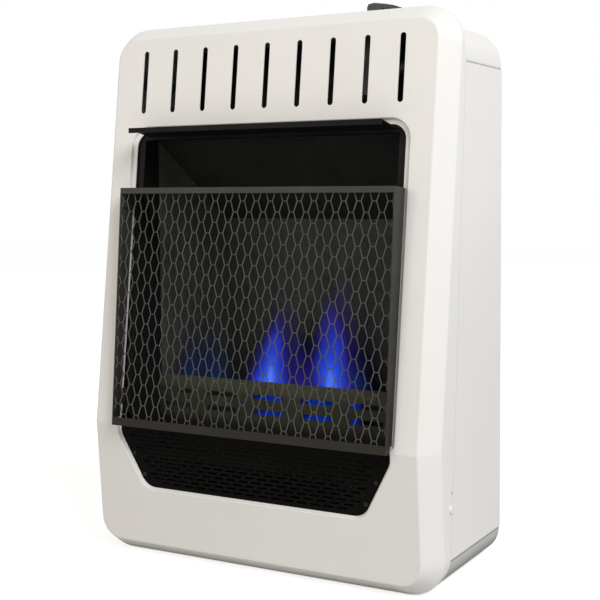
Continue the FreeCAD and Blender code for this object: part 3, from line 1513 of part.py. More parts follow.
boss_end = size.knob_x + size.valve_width / 2 + size.boss_reach
port_z = size.valve_low + 25
supply_z = (size.regulator_low + size.regulator_top) / 2
supply_end = size.regulator_x + size.regulator_radius + size.boss_reach
solid_node("supply_tube", tube(
    [(supply_end, size.regulator_y, supply_z), (size.supply_x, size.regulator_y, supply_z),
     (size.supply_x, size.regulator_y, port_z), (boss_end, size.regulator_y, port_z)],
    size.supply_radius, 3 * size.supply_radius))

jet_centre = size.port_centre + size.burner_length / 2 + size.venturi_reach + size.jet_gap + size.jet_length \
    + size.jet_block / 2
solid_node("burner_feed_tube", tube(
    [(boss_end, size.burner_depth, port_z), (jet_centre, size.burner_depth, port_z),
     (jet_centre, size.burner_depth, size.venturi_height + size.jet_block / 2)],
    size.feed_radius, 3 * size.feed_radius))

pilot_port_y = size.knob_y + size.valve_depth / 2 - size.boss_reach
pilot_run_z = size.deck_height + 5 * size.pilot_tube_radius
pilot_low = size.pilot_shelf - 1.2 * size.pilot_pitch
solid_node("pilot_tube", tube(
    [(boss_end, pilot_port_y, size.valve_low + 10), (size.pilot_tube_x, pilot_port_y, size.valve_low + 10),
     (size.pilot_tube_x, pilot_port_y, pilot_run_z), (size.pilot_tube_x, size.pilot_depth, pilot_run_z),
     (size.pilot_x, size.pilot_depth, pilot_run_z), (size.pilot_x, size.pilot_depth, pilot_low)],
    size.pilot_tube_radius, 3 * size.pilot_tube_radius))

thermo_port_y = size.knob_y - 1.5 * size.boss_reach
thermo_port_z = size.valve_low + size.boss_reach
thermo_foot = size.pilot_x - size.pilot_pitch
thermo_low = size.pilot_shelf - 1.5 * size.pilot_pitch
solid_node("thermocouple_lead", tube(
    [(boss_end, thermo_port_y, thermo_port_z), (size.thermo_lead_x, thermo_port_y, thermo_port_z),
     (size.thermo_lead_x, thermo_port_y, thermo_run_z), (size.thermo_lead_x, size.pilot_depth, thermo_run_z),
     (thermo_foot, size.pilot_depth, thermo_run_z), (thermo_foot, size.pilot_depth, thermo_low)],
    size.thermo_lead_radius, 5 * size.thermo_lead_radius))

spark_foot = size.pilot_x + size.pilot_pitch
spark_top = size.igniter_low - size.button_travel
spark_turn = spark_top - 12 * size.spark_lead_radius
solid_node("ignition_lead", tube(
    [(size.igniter_x, size.igniter_y, spark_top), (size.igniter_x, size.igniter_y, spark_turn),
     (size.spark_lead_x, size.igniter_y, spark_turn), (size.spark_lead_x, size.igniter_y, spark_run_z),
     (size.spark_lead_x, size.pilot_depth, spark_run_z), (spark_foot, size.pilot_depth, spark_run_z),
     (spark_foot, size.pilot_depth, pilot_low)],
    size.spark_lead_radius, 3.5 * size.spark_lead_radius))

bulb_y = back_face - size.bulb_radius - size.clip_wall
bulb_port_z = size.valve_low + 15
valve_back = size.knob_y + size.valve_depth / 2 + size.boss_reach
solid_node("thermostat_capillary", tube(
    [(size.bulb_length / 2, bulb_y, size.bulb_height), (size.capillary_x, bulb_y, size.bulb_height),
     (size.capillary_x, bulb_y, bulb_port_z), (size.knob_x, bulb_y, bulb_port_z),
     (size.knob_x, valve_back, bulb_port_z)],
    size.capillary_radius, 8 * size.capillary_radius))

bulb_depth = f"{BACK_FACE} - bulb_radius - clip_wall"
node(rod("bulb_radius", "bulb_length", "-bulb_length / 2", bulb_depth, "bulb_height", "x"), "thermostat_bulb")
clip_parts = []
for side in (-1, 1):
    clip = box(f"{side} * clip_spacing / 2 - clip_width / 2", f"{bulb_depth} - bulb_radius - clip_wall",
               "bulb_height - bulb_radius - clip_wall", "clip_width", "2 * (bulb_radius + clip_wall)",
               "2 * (bulb_radius + clip_wall)")
    hole = rod("bulb_radius", "3 * clip_width", f"{side} * clip_spacing / 2 - 1.5 * clip_width", bulb_depth,
               "bulb_height", "x")
    clip_parts.append(cut(clip, hole))
clips = doc.addObject("Part::Compound", "clips")
clips.Links = clip_parts
node(clips, "bulb_clips")

heat_shield_width = "heat_shield_right - heat_shield_left"
node(box("heat_shield_left", "heat_shield_front", "heat_shield_height", heat_shield_width,
         f"{BACK_FACE} - heat_shield_front", "firebox_skin"), "valve_heat_shield")


# Every object must be sound before the pieces are written

doc.recompute()
for obj in doc.Objects:
    if "Invalid" in obj.State or "Error" in obj.State:
        raise ValueError(f"{obj.Label}: {obj.State}")
for piece in nodes:
    if piece.Shape.isNull() or not piece.Shape.isValid() or not piece.Shape.Solids:
        raise ValueError(f"{piece.Label}: no sound solid")

os.makedirs("parts", exist_ok=True)
for piece in nodes:
    piece.Shape.exportStep(os.path.join("parts", piece.Label + ".step"))
    print(piece.Label, len(piece.Shape.Solids), round(piece.Shape.Volume))
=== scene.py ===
import json
import math
import random

import bmesh
import bpy
from mathutils import Matrix, Vector


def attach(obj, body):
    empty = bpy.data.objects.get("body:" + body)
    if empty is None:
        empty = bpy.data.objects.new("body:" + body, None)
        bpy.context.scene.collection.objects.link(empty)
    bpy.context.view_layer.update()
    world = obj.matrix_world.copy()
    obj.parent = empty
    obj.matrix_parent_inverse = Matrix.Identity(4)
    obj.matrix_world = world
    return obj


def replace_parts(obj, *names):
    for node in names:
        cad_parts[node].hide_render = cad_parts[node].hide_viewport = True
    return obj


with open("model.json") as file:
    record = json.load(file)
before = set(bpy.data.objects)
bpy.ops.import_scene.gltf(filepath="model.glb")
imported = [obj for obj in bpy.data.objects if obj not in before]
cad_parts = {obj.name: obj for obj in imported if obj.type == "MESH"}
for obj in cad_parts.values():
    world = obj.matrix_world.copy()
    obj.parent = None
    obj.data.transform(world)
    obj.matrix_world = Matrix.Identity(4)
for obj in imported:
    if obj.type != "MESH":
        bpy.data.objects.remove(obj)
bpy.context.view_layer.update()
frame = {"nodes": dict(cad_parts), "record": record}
nodes = frame["nodes"]
scene = bpy.context.scene
scene.view_settings.view_transform = "Standard"

# Lengths are in metres, and depths in the heater are measured back from the crease of its front face.
CREASE_Y = -0.09205
BACK_PANEL_INSIDE = 0.1893 + CREASE_Y
COVER_FLANGE_EDGE = 0.0405 + CREASE_Y
COVER_FLANGE_SLOPE = -0.0723

# Heights between which a finish changes; the seam and underside heights place painted shade, the guard
# heights painted light and shade, and the shield heights a paler band and painted shade
SEAM_SHADOW_HEIGHTS = (0.506, 0.512)
LOW_SHADE_HEIGHTS = (0.0, 0.032)
GUARD_LIGHT_TO_SHADE = (0.15, 0.38)
FIREBOX_HEAT = (0.10, 0.34)
SHIELD_FACE = (0.105, 0.187)


# Camera: the photograph's viewpoint

EYE = (0.623409, -0.9913715 + CREASE_Y, 0.386555)
YAW, PITCH, ROLL = 0.51359, -0.0679178, -0.0067855
LENS = 71.707
SENSOR = 36
SHIFT_UP = -0.05


def add_camera():
    level = Vector((-math.sin(YAW), math.cos(YAW), 0))
    side = Vector((math.cos(YAW), math.sin(YAW), 0))
    ahead = level * math.cos(PITCH) + Vector((0, 0, math.sin(PITCH)))
    above = Vector((0, 0, math.cos(PITCH))) - level * math.sin(PITCH)
    right = side * math.cos(ROLL) + above * math.sin(ROLL)
    up = above * math.cos(ROLL) - side * math.sin(ROLL)
    data = bpy.data.cameras.new("camera")
    data.sensor_width = SENSOR
    data.lens = LENS
    data.shift_y = SHIFT_UP
    camera = bpy.data.objects.new("camera", data)
    turn = Matrix((right, up, -ahead)).transposed().to_4x4()
    camera.matrix_world = Matrix.Translation(EYE) @ turn
    scene.collection.objects.link(camera)
    scene.camera = camera


add_camera()


# Materials: small helpers, then one recipe for each finish

class Recipe:
    """A material's node tree, with its nodes added one line at a time."""

    def __init__(self, name):
        self.material = bpy.data.materials.new(name)
        self.material.use_nodes = True
        self.tree = self.material.node_tree
        self.tree.nodes.clear()
        self.output = self.add("ShaderNodeOutputMaterial")
        self.shader = self.add("ShaderNodeBsdfPrincipled")
        self.link(self.shader.outputs["BSDF"], self.output.inputs["Surface"])
        self.place = self.add("ShaderNodeTexCoord").outputs["Object"]

    def add(self, kind, **inputs):
        node = self.tree.nodes.new(kind)
        for name, value in inputs.items():
            node.inputs[name.replace("_", " ")].default_value = value
        return node

    def link(self, source, target):
        self.tree.links.new(source, target)

    def set(self, **inputs):
        for name, value in inputs.items():
            self.shader.inputs[name.replace("_", " ")].default_value = value

    def stretched(self, scale):
        mapping = self.add("ShaderNodeMapping", Scale=scale)
        self.link(self.place, mapping.inputs["Vector"])
        return mapping.outputs["Vector"]

    def noise(self, scale, detail=3.0, stretch=None):
        node = self.add("ShaderNodeTexNoise", Scale=scale, Detail=detail)
        self.link(self.stretched(stretch) if stretch else self.place, node.inputs["Vector"])
        return node.outputs["Fac"]

    def cells(self, scale, output="Color"):
        node = self.add("ShaderNodeTexVoronoi", Scale=scale)
        self.link(self.place, node.inputs["Vector"])
        return node.outputs[output]

    def ramp(self, factor, *stops):
        """Colours along a factor, as (position, colour) stops."""
        node = self.add("ShaderNodeValToRGB")
        elements = node.color_ramp.elements
        while len(elements) < len(stops):
            elements.new(0.5)
        for element, (position, colour) in zip(elements, stops):
            element.position = position
            element.color = (*colour, 1)
        self.link(factor, node.inputs["Fac"])
        return node.outputs["Color"]

    def spread(self, factor, low, high, start=0.3, stop=0.7):
        """A factor between start and stop, spread over low to high."""
        node = self.add("ShaderNodeMapRange")
        for k, value in enumerate((start, stop, low, high), start=1):
            node.inputs[k].default_value = value
        self.link(factor, node.inputs[0])
        return node.outputs[0]

    def rise(self, start, stop, direction=(0, 0, 1)):
        """A factor that grows from 0 to 1 between two places along a direction."""
        node = self.add("ShaderNodeVectorMath")
        node.operation = "DOT_PRODUCT"
        node.inputs[1].default_value = direction
        self.link(self.place, node.inputs[0])
        return self.spread(node.outputs["Value"], 0.0, 1.0, start, stop)

    def times(self, first, second):
        """Two colours multiplied; a mix node's colour sockets are found by their place."""
        node = self.add("ShaderNodeMix")
        node.data_type = "RGBA"
        node.blend_type = "MULTIPLY"
        node.inputs[0].default_value = 1.0
        self.link(first, node.inputs[6])
        self.link(second, node.inputs[7])
        return node.outputs[2]

    def bump(self, height, strength, distance, below=None):
        node = self.add("ShaderNodeBump", Strength=strength, Distance=distance)
        self.link(height, node.inputs["Height"])
        if below:
            self.link(below, node.inputs["Normal"])
        return node.outputs["Normal"]

    def wear(self, colour, rough, normal):
        for name, socket in (("Base Color", colour), ("Roughness", rough), ("Normal", normal)):
            self.link(socket, self.shader.inputs[name])
        return self.material


def grey(value):
    return (value, value, value)


def cream_paint(name="cream_paint", shade=None):
    """Satin powder coat: cream white with a fine orange peel and faint clouds."""
    r = Recipe(name)
    clouds = r.ramp(r.noise(7, 4), (0.3, (0.788, 0.766, 0.728)), (0.7, (0.812, 0.792, 0.757)))
    specks = r.ramp(r.noise(900, 2), (0.66, grey(1.0)), (0.8, (0.93, 0.92, 0.90)))
    peel = r.bump(r.noise(420, 2), 0.10, 0.0004)
    grain = r.bump(r.noise(2200, 2), 0.05, 0.0002, peel)
    colour = r.times(clouds, specks)
    if shade:
        colour = r.times(colour, shade(r))
    r.set(Specular_IOR_Level=0.4)
    return r.wear(colour, r.spread(r.noise(30, 3), 0.36, 0.46), grain)


def seam_shadow_above(r):
    """Painted shadow: a dark line in the seam above the side panels' upper edge, where shade falls between
    the parts.
    """
    return r.ramp(r.rise(*SEAM_SHADOW_HEIGHTS), (0.0, grey(0.42)), (0.38, grey(0.50)), (0.55, grey(0.95)),
                  (1.0, grey(1.0)))


def underside_shade(r):
    """Painted shade: a dark line in the seam under the side panels' lower edge, and the underside painted
    darker towards the bottom, as shade under the bend.
    """
    return r.ramp(r.rise(*LOW_SHADE_HEIGHTS), (0.0, grey(0.20)), (0.35, grey(0.34)), (0.70, grey(0.62)),
                  (0.84, grey(0.66)), (0.88, grey(0.30)))


def flange_step_shade(r):
    """Painted shade in the step where the side panels run in under the front cover's flange."""
    across = (0, 1, COVER_FLANGE_SLOPE)
    back = r.rise(COVER_FLANGE_EDGE - 0.002, COVER_FLANGE_EDGE + 0.010, across)
    return r.ramp(back, (0.0, grey(0.60)), (0.24, grey(0.72)), (0.40, grey(0.90)), (0.46, grey(0.80)),
                  (0.55, grey(0.98)), (1.0, grey(1.0)))


def black_paint(name="black_paint", tone=0.006, sheen=0.10):
    """Heat-proof matt black: a dry grain, dusty clouds and a dull sheen."""
    r = Recipe(name)
    dark = (tone, tone * 0.98, tone * 0.90)
    dusty = (tone * 1.5, tone * 1.45, tone * 1.30)
    clouds = r.ramp(r.noise(16, 5), (0.32, dark), (0.75, dusty))
    specks = r.ramp(r.noise(1500, 2), (0.62, grey(1.0)), (0.75, (1.7, 1.66, 1.58)))
    grain = r.bump(r.noise(1300, 3), 0.25, 0.0004)
    r.set(Specular_IOR_Level=sheen)
    return r.wear(r.times(clouds, specks), r.spread(r.noise(45, 4), 0.50, 0.66), grain)


def wire_paint():
    """The mesh's paint: worn to a grey-green on the strands, with rubbed spots."""
    r = Recipe("guard_wire_paint")
    worn = r.ramp(r.noise(22, 5), (0.3, (0.070, 0.072, 0.062)), (0.7, (0.100, 0.102, 0.088)))
    rubbed = r.ramp(r.noise(260, 3), (0.6, grey(1.0)), (0.78, (1.6, 1.58, 1.5)))
    grain = r.bump(r.noise(1300, 3), 0.2, 0.0003)
    r.set(Specular_IOR_Level=0.2)
    return r.wear(r.times(worn, rubbed), r.spread(r.noise(70, 3), 0.46, 0.6), grain)


def guard_paint():
    """The guard's paint, with painted light and shade: a warm grey at the top, where light falls, turning
    browner and darker towards the foot.
    """
    r = Recipe("guard_paint")
    lit_top_shaded_foot = r.ramp(r.rise(*GUARD_LIGHT_TO_SHADE), (0.0, (0.021, 0.018, 0.014)), (0.25, (0.036, 0.033, 0.027)),
                  (1.0, (0.047, 0.045, 0.039)))
    clouds = r.ramp(r.noise(18, 5), (0.3, grey(0.86)), (0.7, (1.14, 1.13, 1.11)))
    specks = r.ramp(r.noise(1500, 2), (0.62, grey(1.0)), (0.75, (1.35, 1.33, 1.3)))
    grain = r.bump(r.noise(1300, 3), 0.22, 0.0004)
    r.set(Specular_IOR_Level=0.2)
    return r.wear(r.times(r.times(lit_top_shaded_foot, clouds), specks), r.spread(r.noise(45, 4), 0.46, 0.62), grain)


def firebox_steel(name="aluminised_steel", tone=0.044, band=None):
    """Coated firebox sheet: dark grey-green, streaked by rolling and browned by heat low down."""
    r = Recipe(name)
    flakes = r.ramp(r.cells(160), (0.0, (tone * 0.84, tone * 0.87, tone * 0.74)),
                    (1.0, (tone * 1.16, tone * 1.20, tone * 1.05)))
    streaks = r.ramp(r.noise(30, 4, (1.0, 1.0, 0.06)), (0.3, grey(0.82)), (0.7, grey(1.12)))
    heat = r.ramp(r.rise(*FIREBOX_HEAT), (0.0, (0.95, 0.90, 0.84)), (0.5, (1.0, 0.97, 0.92)),
                  (1.0, grey(1.0)))
    sheet = r.times(r.times(flakes, streaks), heat)
    if band:
        sheet = r.times(sheet, band(r))
    grain = r.bump(r.noise(700, 3), 0.12, 0.0003)
    r.set(Metallic=0.2, Specular_IOR_Level=0.15)
    return r.wear(sheet, r.spread(r.noise(60, 4), 0.50, 0.68), grain)


def pale_band_shaded_foot(r):
    """A paler, olive band along the shield's upper edge, and painted shade that darkens its lower part,
    which lies in shadow.
    """
    olive = (0.86, 0.85, 0.78)
    return r.ramp(r.rise(*SHIELD_FACE), (0.0, (0.16, 0.16, 0.15)), (0.40, (0.22, 0.22, 0.20)),
                  (0.52, olive), (0.80, olive), (0.88, (1.35, 1.33, 1.10)), (1.0, (1.42, 1.40, 1.14)))


def zinc_steel(name="zinc_steel", shade=None):
    """Zinc-coated sheet with broad spangle."""
    r = Recipe(name)
    spangle = r.ramp(r.cells(110), (0.0, (0.36, 0.37, 0.38)), (0.5, (0.47, 0.48, 0.49)),
                     (1.0, (0.60, 0.61, 0.62)))
    if shade:
        spangle = r.times(spangle, shade(r))
    gloss = r.spread(r.cells(110, "Distance"), 0.32, 0.5, 0.0, 0.6)
    r.set(Metallic=0.9)
    return r.wear(spangle, gloss, r.bump(r.noise(500, 3), 0.08, 0.0003))


def shaded_inside(r):
    """Painted shade on the back panel's inner side, darkening the closed casing's inside."""
    back = r.rise(BACK_PANEL_INSIDE + 0.0002, BACK_PANEL_INSIDE + 0.0004, (0, 1, 0))
    return r.ramp(back, (0.0, grey(0.07)), (1.0, grey(1.0)))


def turned_metal(name, low, high, rough, grain=(1, 1, 40)):
    """Drawn or turned metal: fine lines across the grain, with tarnish in clouds."""
    r = Recipe(name)
    clouds = r.ramp(r.noise(40, 5), (0.3, low), (0.7, high))
    lines = r.noise(60, 3, grain)
    shade = r.ramp(lines, (0.35, grey(0.88)), (0.65, grey(1.06)))
    r.set(Metallic=1.0)
    gloss = r.spread(lines, rough - 0.06, rough + 0.08)
    return r.wear(r.times(clouds, shade), gloss, r.bump(lines, 0.10, 0.0002))


def cast_aluminium():
    """Blasted die casting with a sandy skin; its grey is painted very dark as painted shade for the inside
    of the casing.
    """
    r = Recipe("cast_aluminium")
    clouds = r.ramp(r.noise(35, 5), (0.3, grey(0.11)), (0.7, grey(0.17)))
    sand = r.bump(r.noise(1100, 3), 0.35, 0.0005)
    r.set(Metallic=0.85)
    return r.wear(clouds, r.spread(r.noise(80, 3), 0.45, 0.6), sand)


def white_ceramic():
    """Fired ceramic: off-white and dry."""
    r = Recipe("white_ceramic")
    clouds = r.ramp(r.noise(90, 4), (0.3, (0.74, 0.72, 0.66)), (0.7, (0.84, 0.83, 0.79)))
    return r.wear(clouds, r.spread(r.noise(200, 2), 0.5, 0.65), r.bump(r.noise(1500, 3), 0.15, 0.0003))


def black_plastic():
    """Moulded black plastic with a spark-eroded grain."""
    r = Recipe("black_plastic")
    clouds = r.ramp(r.noise(60, 4), (0.3, (0.018, 0.018, 0.020)), (0.7, (0.032, 0.032, 0.036)))
    grain = r.bump(r.cells(1800, "Distance"), 0.30, 0.0004)
    return r.wear(clouds, r.spread(r.noise(120, 3), 0.34, 0.46), grain)


def lead_rubber():
    """Brown-black rubber round the ignition lead."""
    r = Recipe("lead_rubber")
    clouds = r.ramp(r.noise(80, 4), (0.3, (0.030, 0.020, 0.018)), (0.7, (0.055, 0.042, 0.038)))
    return r.wear(clouds, r.spread(r.noise(150, 3), 0.5, 0.7), r.bump(r.noise(1600, 3), 0.2, 0.0003))


# Finishes by material slot, and nodes with a finish of their own

ALONG_TUBE = (30, 30, 1)
finishes = {
    "cream_paint": cream_paint(),
    "black_paint": black_paint(),
    "aluminised_steel": firebox_steel(),
    "zinc_steel": zinc_steel(),
    "screw_steel": turned_metal("screw_steel", (0.42, 0.42, 0.43), (0.62, 0.62, 0.63), 0.30),
    "black_screw": black_paint("black_screw", 0.014, 0.2),
    "brass": turned_metal("brass", (0.50, 0.35, 0.12), (0.70, 0.53, 0.24), 0.30),
    "copper": turned_metal("copper", (0.46, 0.22, 0.12), (0.66, 0.36, 0.22), 0.34),
    "cast_aluminium": cast_aluminium(),
    "tube_aluminium": turned_metal("tube_aluminium", (0.56, 0.56, 0.57), (0.72, 0.72, 0.73), 0.32,
                                   ALONG_TUBE),
    "white_ceramic": white_ceramic(),
    "black_plastic": black_plastic(),
    "lead_rubber": lead_rubber(),
}
# the side panels carry painted shade behind the cover's flange
side_paint = cream_paint("casing_side_paint", flange_step_shade)
scorched_steel = firebox_steel("scorched_steel", 0.010)
# painted light: a lighter copy of the firebox steel for the side walls, which the light reaches
lit_wall_sheet = firebox_steel("lit_wall_sheet", 0.068)
own_finishes = {
    # the casing top carries a painted seam shadow
    "casing_top": cream_paint("casing_top_paint", seam_shadow_above),
    # the casing bottom carries a painted seam shadow and a painted darker underside
    "casing_bottom": cream_paint("casing_bottom_paint", underside_shade),
    "casing_side_left": side_paint,
    "casing_side_right": side_paint,
    # the back panel's inner side carries painted shade
    "casing_back": zinc_steel("back_panel_zinc", shaded_inside),
    "cover_screws": cream_paint("screw_paint"),
    "lower_grille": black_paint("grille_paint", 0.0042, 0.03),
    # the guard frame carries painted light at its top and painted shade at its foot
    "guard_frame": guard_paint(),
    "firebox_front": black_paint("firebox_front_paint", 0.008, 0.10),
    "firebox_wall_left": lit_wall_sheet,
    "firebox_wall_right": lit_wall_sheet,
    # painted shade: a darker copy of the firebox steel for the baffle, which faces down into shadow
    "firebox_baffle": firebox_steel("baffle_in_shade", 0.024),
    "firebox_deck": scorched_steel,
    "pilot_bracket": scorched_steel,
    "burner_brackets": scorched_steel,
    "burner_shield": firebox_steel("shield_steel", 0.048, pale_band_shaded_foot),
    "valve_heat_shield": finishes["aluminised_steel"],
}
for part in frame["record"]["subparts"]:
    name = part["node"]
    node = nodes[name]
    node.data.materials.clear()
    node.data.materials.append(own_finishes.get(name, finishes[part["material_slot"]]))


# Guard mesh: expanded metal at its true pitch, with strands that twist between the bonds

GUARD_HALF_WIDTH = 0.1585
GUARD_HEIGHT = 0.2486
GUARD_SKIN = 0.0012
GUARD_LEAN = math.atan(0.0216 / GUARD_HEIGHT)
GUARD_FOOT = (0, -0.0092 + CREASE_Y, 0.141)
MESH_PLAY = 0.0002
MESH_BEHIND = GUARD_SKIN + 0.0009
CELL_WIDTH, CELL_HEIGHT = 0.0161, 0.0212
BOND = 0.0045
STRAND = 0.0008
STRAND_SKIN = 0.0008
STRAND_TWIST = 0.0004
WELD = 0.00005


def cell_outlines():
    """A cell's outline on the strands' middle lines, and the outline of the gap in it."""
    half_bond = BOND / 2
    half_cell = (CELL_WIDTH - BOND) / 2
    half_height = CELL_HEIGHT / 2
    outer = [(-half_bond, -half_height), (half_bond, -half_height), (half_cell, 0),
             (half_bond, half_height), (-half_bond, half_height), (-half_cell, 0)]
    run = math.hypot(half_cell - half_bond, half_height)
    point_in = STRAND / 2 * run / half_height
    flat_in = STRAND / 2 * (run - (half_cell - half_bond)) / half_height
    inner = []
    for x, z in outer:
        if z == 0:
            inner.append((x - math.copysign(point_in, x), 0))
        else:
            inner.append((x - math.copysign(flat_in, x), z - math.copysign(STRAND / 2, z)))
    return outer, inner


def add_guard_mesh():
    right = GUARD_HALF_WIDTH - GUARD_SKIN - MESH_PLAY
    low = GUARD_SKIN + MESH_PLAY
    high = GUARD_HEIGHT - GUARD_SKIN - MESH_PLAY
    outer, inner = cell_outlines()
    columns = int(right / CELL_WIDTH) + 2
    rows = int((high - low) / CELL_HEIGHT) + 2
    mesh = bmesh.new()
    for column in range(-2 * columns, 2 * columns + 1):
        for row in range(rows + 1):
            x = column * CELL_WIDTH / 2
            z = low + (row + (column % 2) / 2) * CELL_HEIGHT
            rim = [mesh.verts.new((x + u, 0, z + v)) for u, v in outer]
            gap = []
            for u, v in inner:
                twist = math.copysign(STRAND_TWIST, v) if v else 0
                gap.append(mesh.verts.new((x + u, twist, z + v)))
            for k in range(len(rim)):
                after = (k + 1) % len(rim)
                mesh.faces.new((rim[k], rim[after], gap[after], gap[k]))
    bmesh.ops.remove_doubles(mesh, verts=mesh.verts, dist=WELD)
    limits = (((-right, 0, 0), (-1, 0, 0)), ((right, 0, 0), (1, 0, 0)),
              ((0, 0, low), (0, 0, -1)), ((0, 0, high), (0, 0, 1)))
    for point, away in limits:
        everything = mesh.verts[:] + mesh.edges[:] + mesh.faces[:]
        bmesh.ops.bisect_plane(mesh, geom=everything, plane_co=point, plane_no=away, clear_outer=True)
    data = bpy.data.meshes.new("guard_expanded_mesh")
    mesh.to_mesh(data)
    mesh.free()
    piece = bpy.data.objects.new("guard_expanded_mesh", data)
    turn = Matrix.Rotation(-GUARD_LEAN, 4, "X")
    piece.matrix_world = Matrix.Translation(GUARD_FOOT) @ turn @ Matrix.Translation((0, MESH_BEHIND, 0))
    scene.collection.objects.link(piece)
    solid = piece.modifiers.new("skin", "SOLIDIFY")
    solid.thickness = STRAND_SKIN
    solid.offset = 0
    data.materials.append(wire_paint())
    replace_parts(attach(piece, "guard"), "guard_mesh")


add_guard_mesh()


# Flames: soft glowing sheets behind the shield and its ports

def flame_glow(name, strength, stops, density):
    """Light that is densest at the middle of a sheet's foot and thins out to its edges and its tip."""
    r = Recipe(name)
    place = r.add("ShaderNodeMapping", Location=(-1, 0, 0), Scale=(2, 1, 0))
    r.link(r.add("ShaderNodeTexCoord").outputs["UV"], place.inputs["Vector"])
    body = r.add("ShaderNodeTexGradient")
    body.gradient_type = "SPHERICAL"
    r.link(place.outputs["Vector"], body.inputs["Vector"])
    wisps = r.ramp(r.noise(55, 3, (1.0, 1.0, 0.35)), (0.3, grey(0.72)), (0.7, grey(1.15)))
    heart = r.times(body.outputs["Color"], wisps)
    r.set(Base_Color=(0, 0, 0, 1), Roughness=1.0, Specular_IOR_Level=0.0, Emission_Strength=strength)
    r.link(r.ramp(heart, *stops), r.shader.inputs["Emission Color"])
    cover = r.ramp(heart, *((spot, grey(value)) for spot, value in density))
    r.link(cover, r.shader.inputs["Alpha"])
    return r.material


# Colours from a sheet's edge to the heart of its foot, and how much of what lies behind they cover
BLUE = ((0.0, (0.014, 0.009, 0.12)), (0.3, (0.018, 0.020, 0.30)), (0.6, (0.016, 0.062, 0.60)),
        (0.95, (0.09, 0.20, 0.88)))
VIOLET = ((0.0, (0.010, 0.006, 0.07)), (0.5, (0.021, 0.011, 0.17)), (1.0, (0.034, 0.020, 0.28)))
NAVY = ((0.0, (0.002, 0.006, 0.02)), (0.5, (0.003, 0.011, 0.050)), (1.0, (0.004, 0.018, 0.085)))
PORT = ((0.0, (0.0, 0.010, 0.16)), (0.4, (0.001, 0.028, 0.38)), (1.0, (0.002, 0.052, 0.58)))
SOFT = ((0.0, 0.0), (0.15, 0.09), (0.35, 0.34), (0.6, 0.74), (0.9, 0.90))
FAINT = ((0.0, 0.0), (0.3, 0.16), (1.0, 0.42))
DENSE = ((0.0, 0.0), (0.12, 0.55), (0.5, 0.85))

SHEETS = 2
SHEET_GAP = 0.006
SHEET_ROWS, SHEET_COLUMNS = 16, 12
SHEET_BOW = 0.003
SWAY = 0.14
SWAY_WAVE, BOW_WAVE = 4.5, 3
FULL_TURN = 6.28
TIP_WIDTH = 0.15
TAPER = 0.7


def sheet_grid(mesh, foot, tip, half_width, depth, phase):
    """The vertices of one sheet, in rows from its foot (x, z) to its tip (x, z), each with its u and v."""
    foot_x, foot_z = foot
    tip_x, tip_z = tip
    grid = []
    for row in range(SHEET_ROWS + 1):
        v = row / SHEET_ROWS
        sway = SWAY * half_width * math.sin(phase + SWAY_WAVE * v) * v
        middle = foot_x + (tip_x - foot_x) * v + sway
        reach = half_width * ((1 - v) ** TAPER * (1 - TIP_WIDTH) + TIP_WIDTH)
        z = foot_z + (tip_z - foot_z) * v
        line = []
        for column in range(SHEET_COLUMNS + 1):
            u = 2 * column / SHEET_COLUMNS - 1
            bow = SHEET_BOW * (1 - u * u) * math.cos(phase + BOW_WAVE * v)
            line.append((mesh.verts.new((middle + u * reach, depth + bow, z)), u, v))
        grid.append(line)
    return grid


def flame(name, tongues, glow):
    """One flame of several tongues, each given as (foot x, tip x, y, foot z, tip z, half width)."""
    chance = random.Random(name)
    mesh = bmesh.new()
    layer = mesh.loops.layers.uv.new("flame")
    for foot_x, tip_x, y, foot_z, tip_z, half_width in tongues:
        for sheet in range(SHEETS):
            phase = chance.uniform(0, FULL_TURN)
            depth = y + SHEET_GAP * (sheet - 0.5)
            grid = sheet_grid(mesh, (foot_x, foot_z), (tip_x, tip_z), half_width, depth, phase)
            for lower, upper in zip(grid, grid[1:]):
                for column in range(SHEET_COLUMNS):
                    corners = (lower[column], lower[column + 1], upper[column + 1], upper[column])
                    face = mesh.faces.new([corner[0] for corner in corners])
                    face.smooth = True
                    for loop, (_, u, v) in zip(face.loops, corners):
                        loop[layer].uv = (u / 2 + 0.5, v)
    data = bpy.data.meshes.new(name)
    mesh.to_mesh(data)
    mesh.free()
    data.materials.append(glow)
    piece = bpy.data.objects.new(name, data)
    scene.collection.objects.link(piece)
    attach(piece, "heater")


BURNER_Y = 0.122 + CREASE_Y
HAZE_Y = 0.085 + CREASE_Y
PORT_Y = 0.0665 + CREASE_Y
FLAME_FOOT = 0.170
HAZE_FOOT = FLAME_FOOT + 0.006
PORT_ROWS = (0.1545, 0.1702)
PORT_FALL, PORT_RISE = 0.005, 0.009
PORT_FLAMES = ((-0.0092, 0.027), (0.0478, 0.027), (0.0850, 0.012))


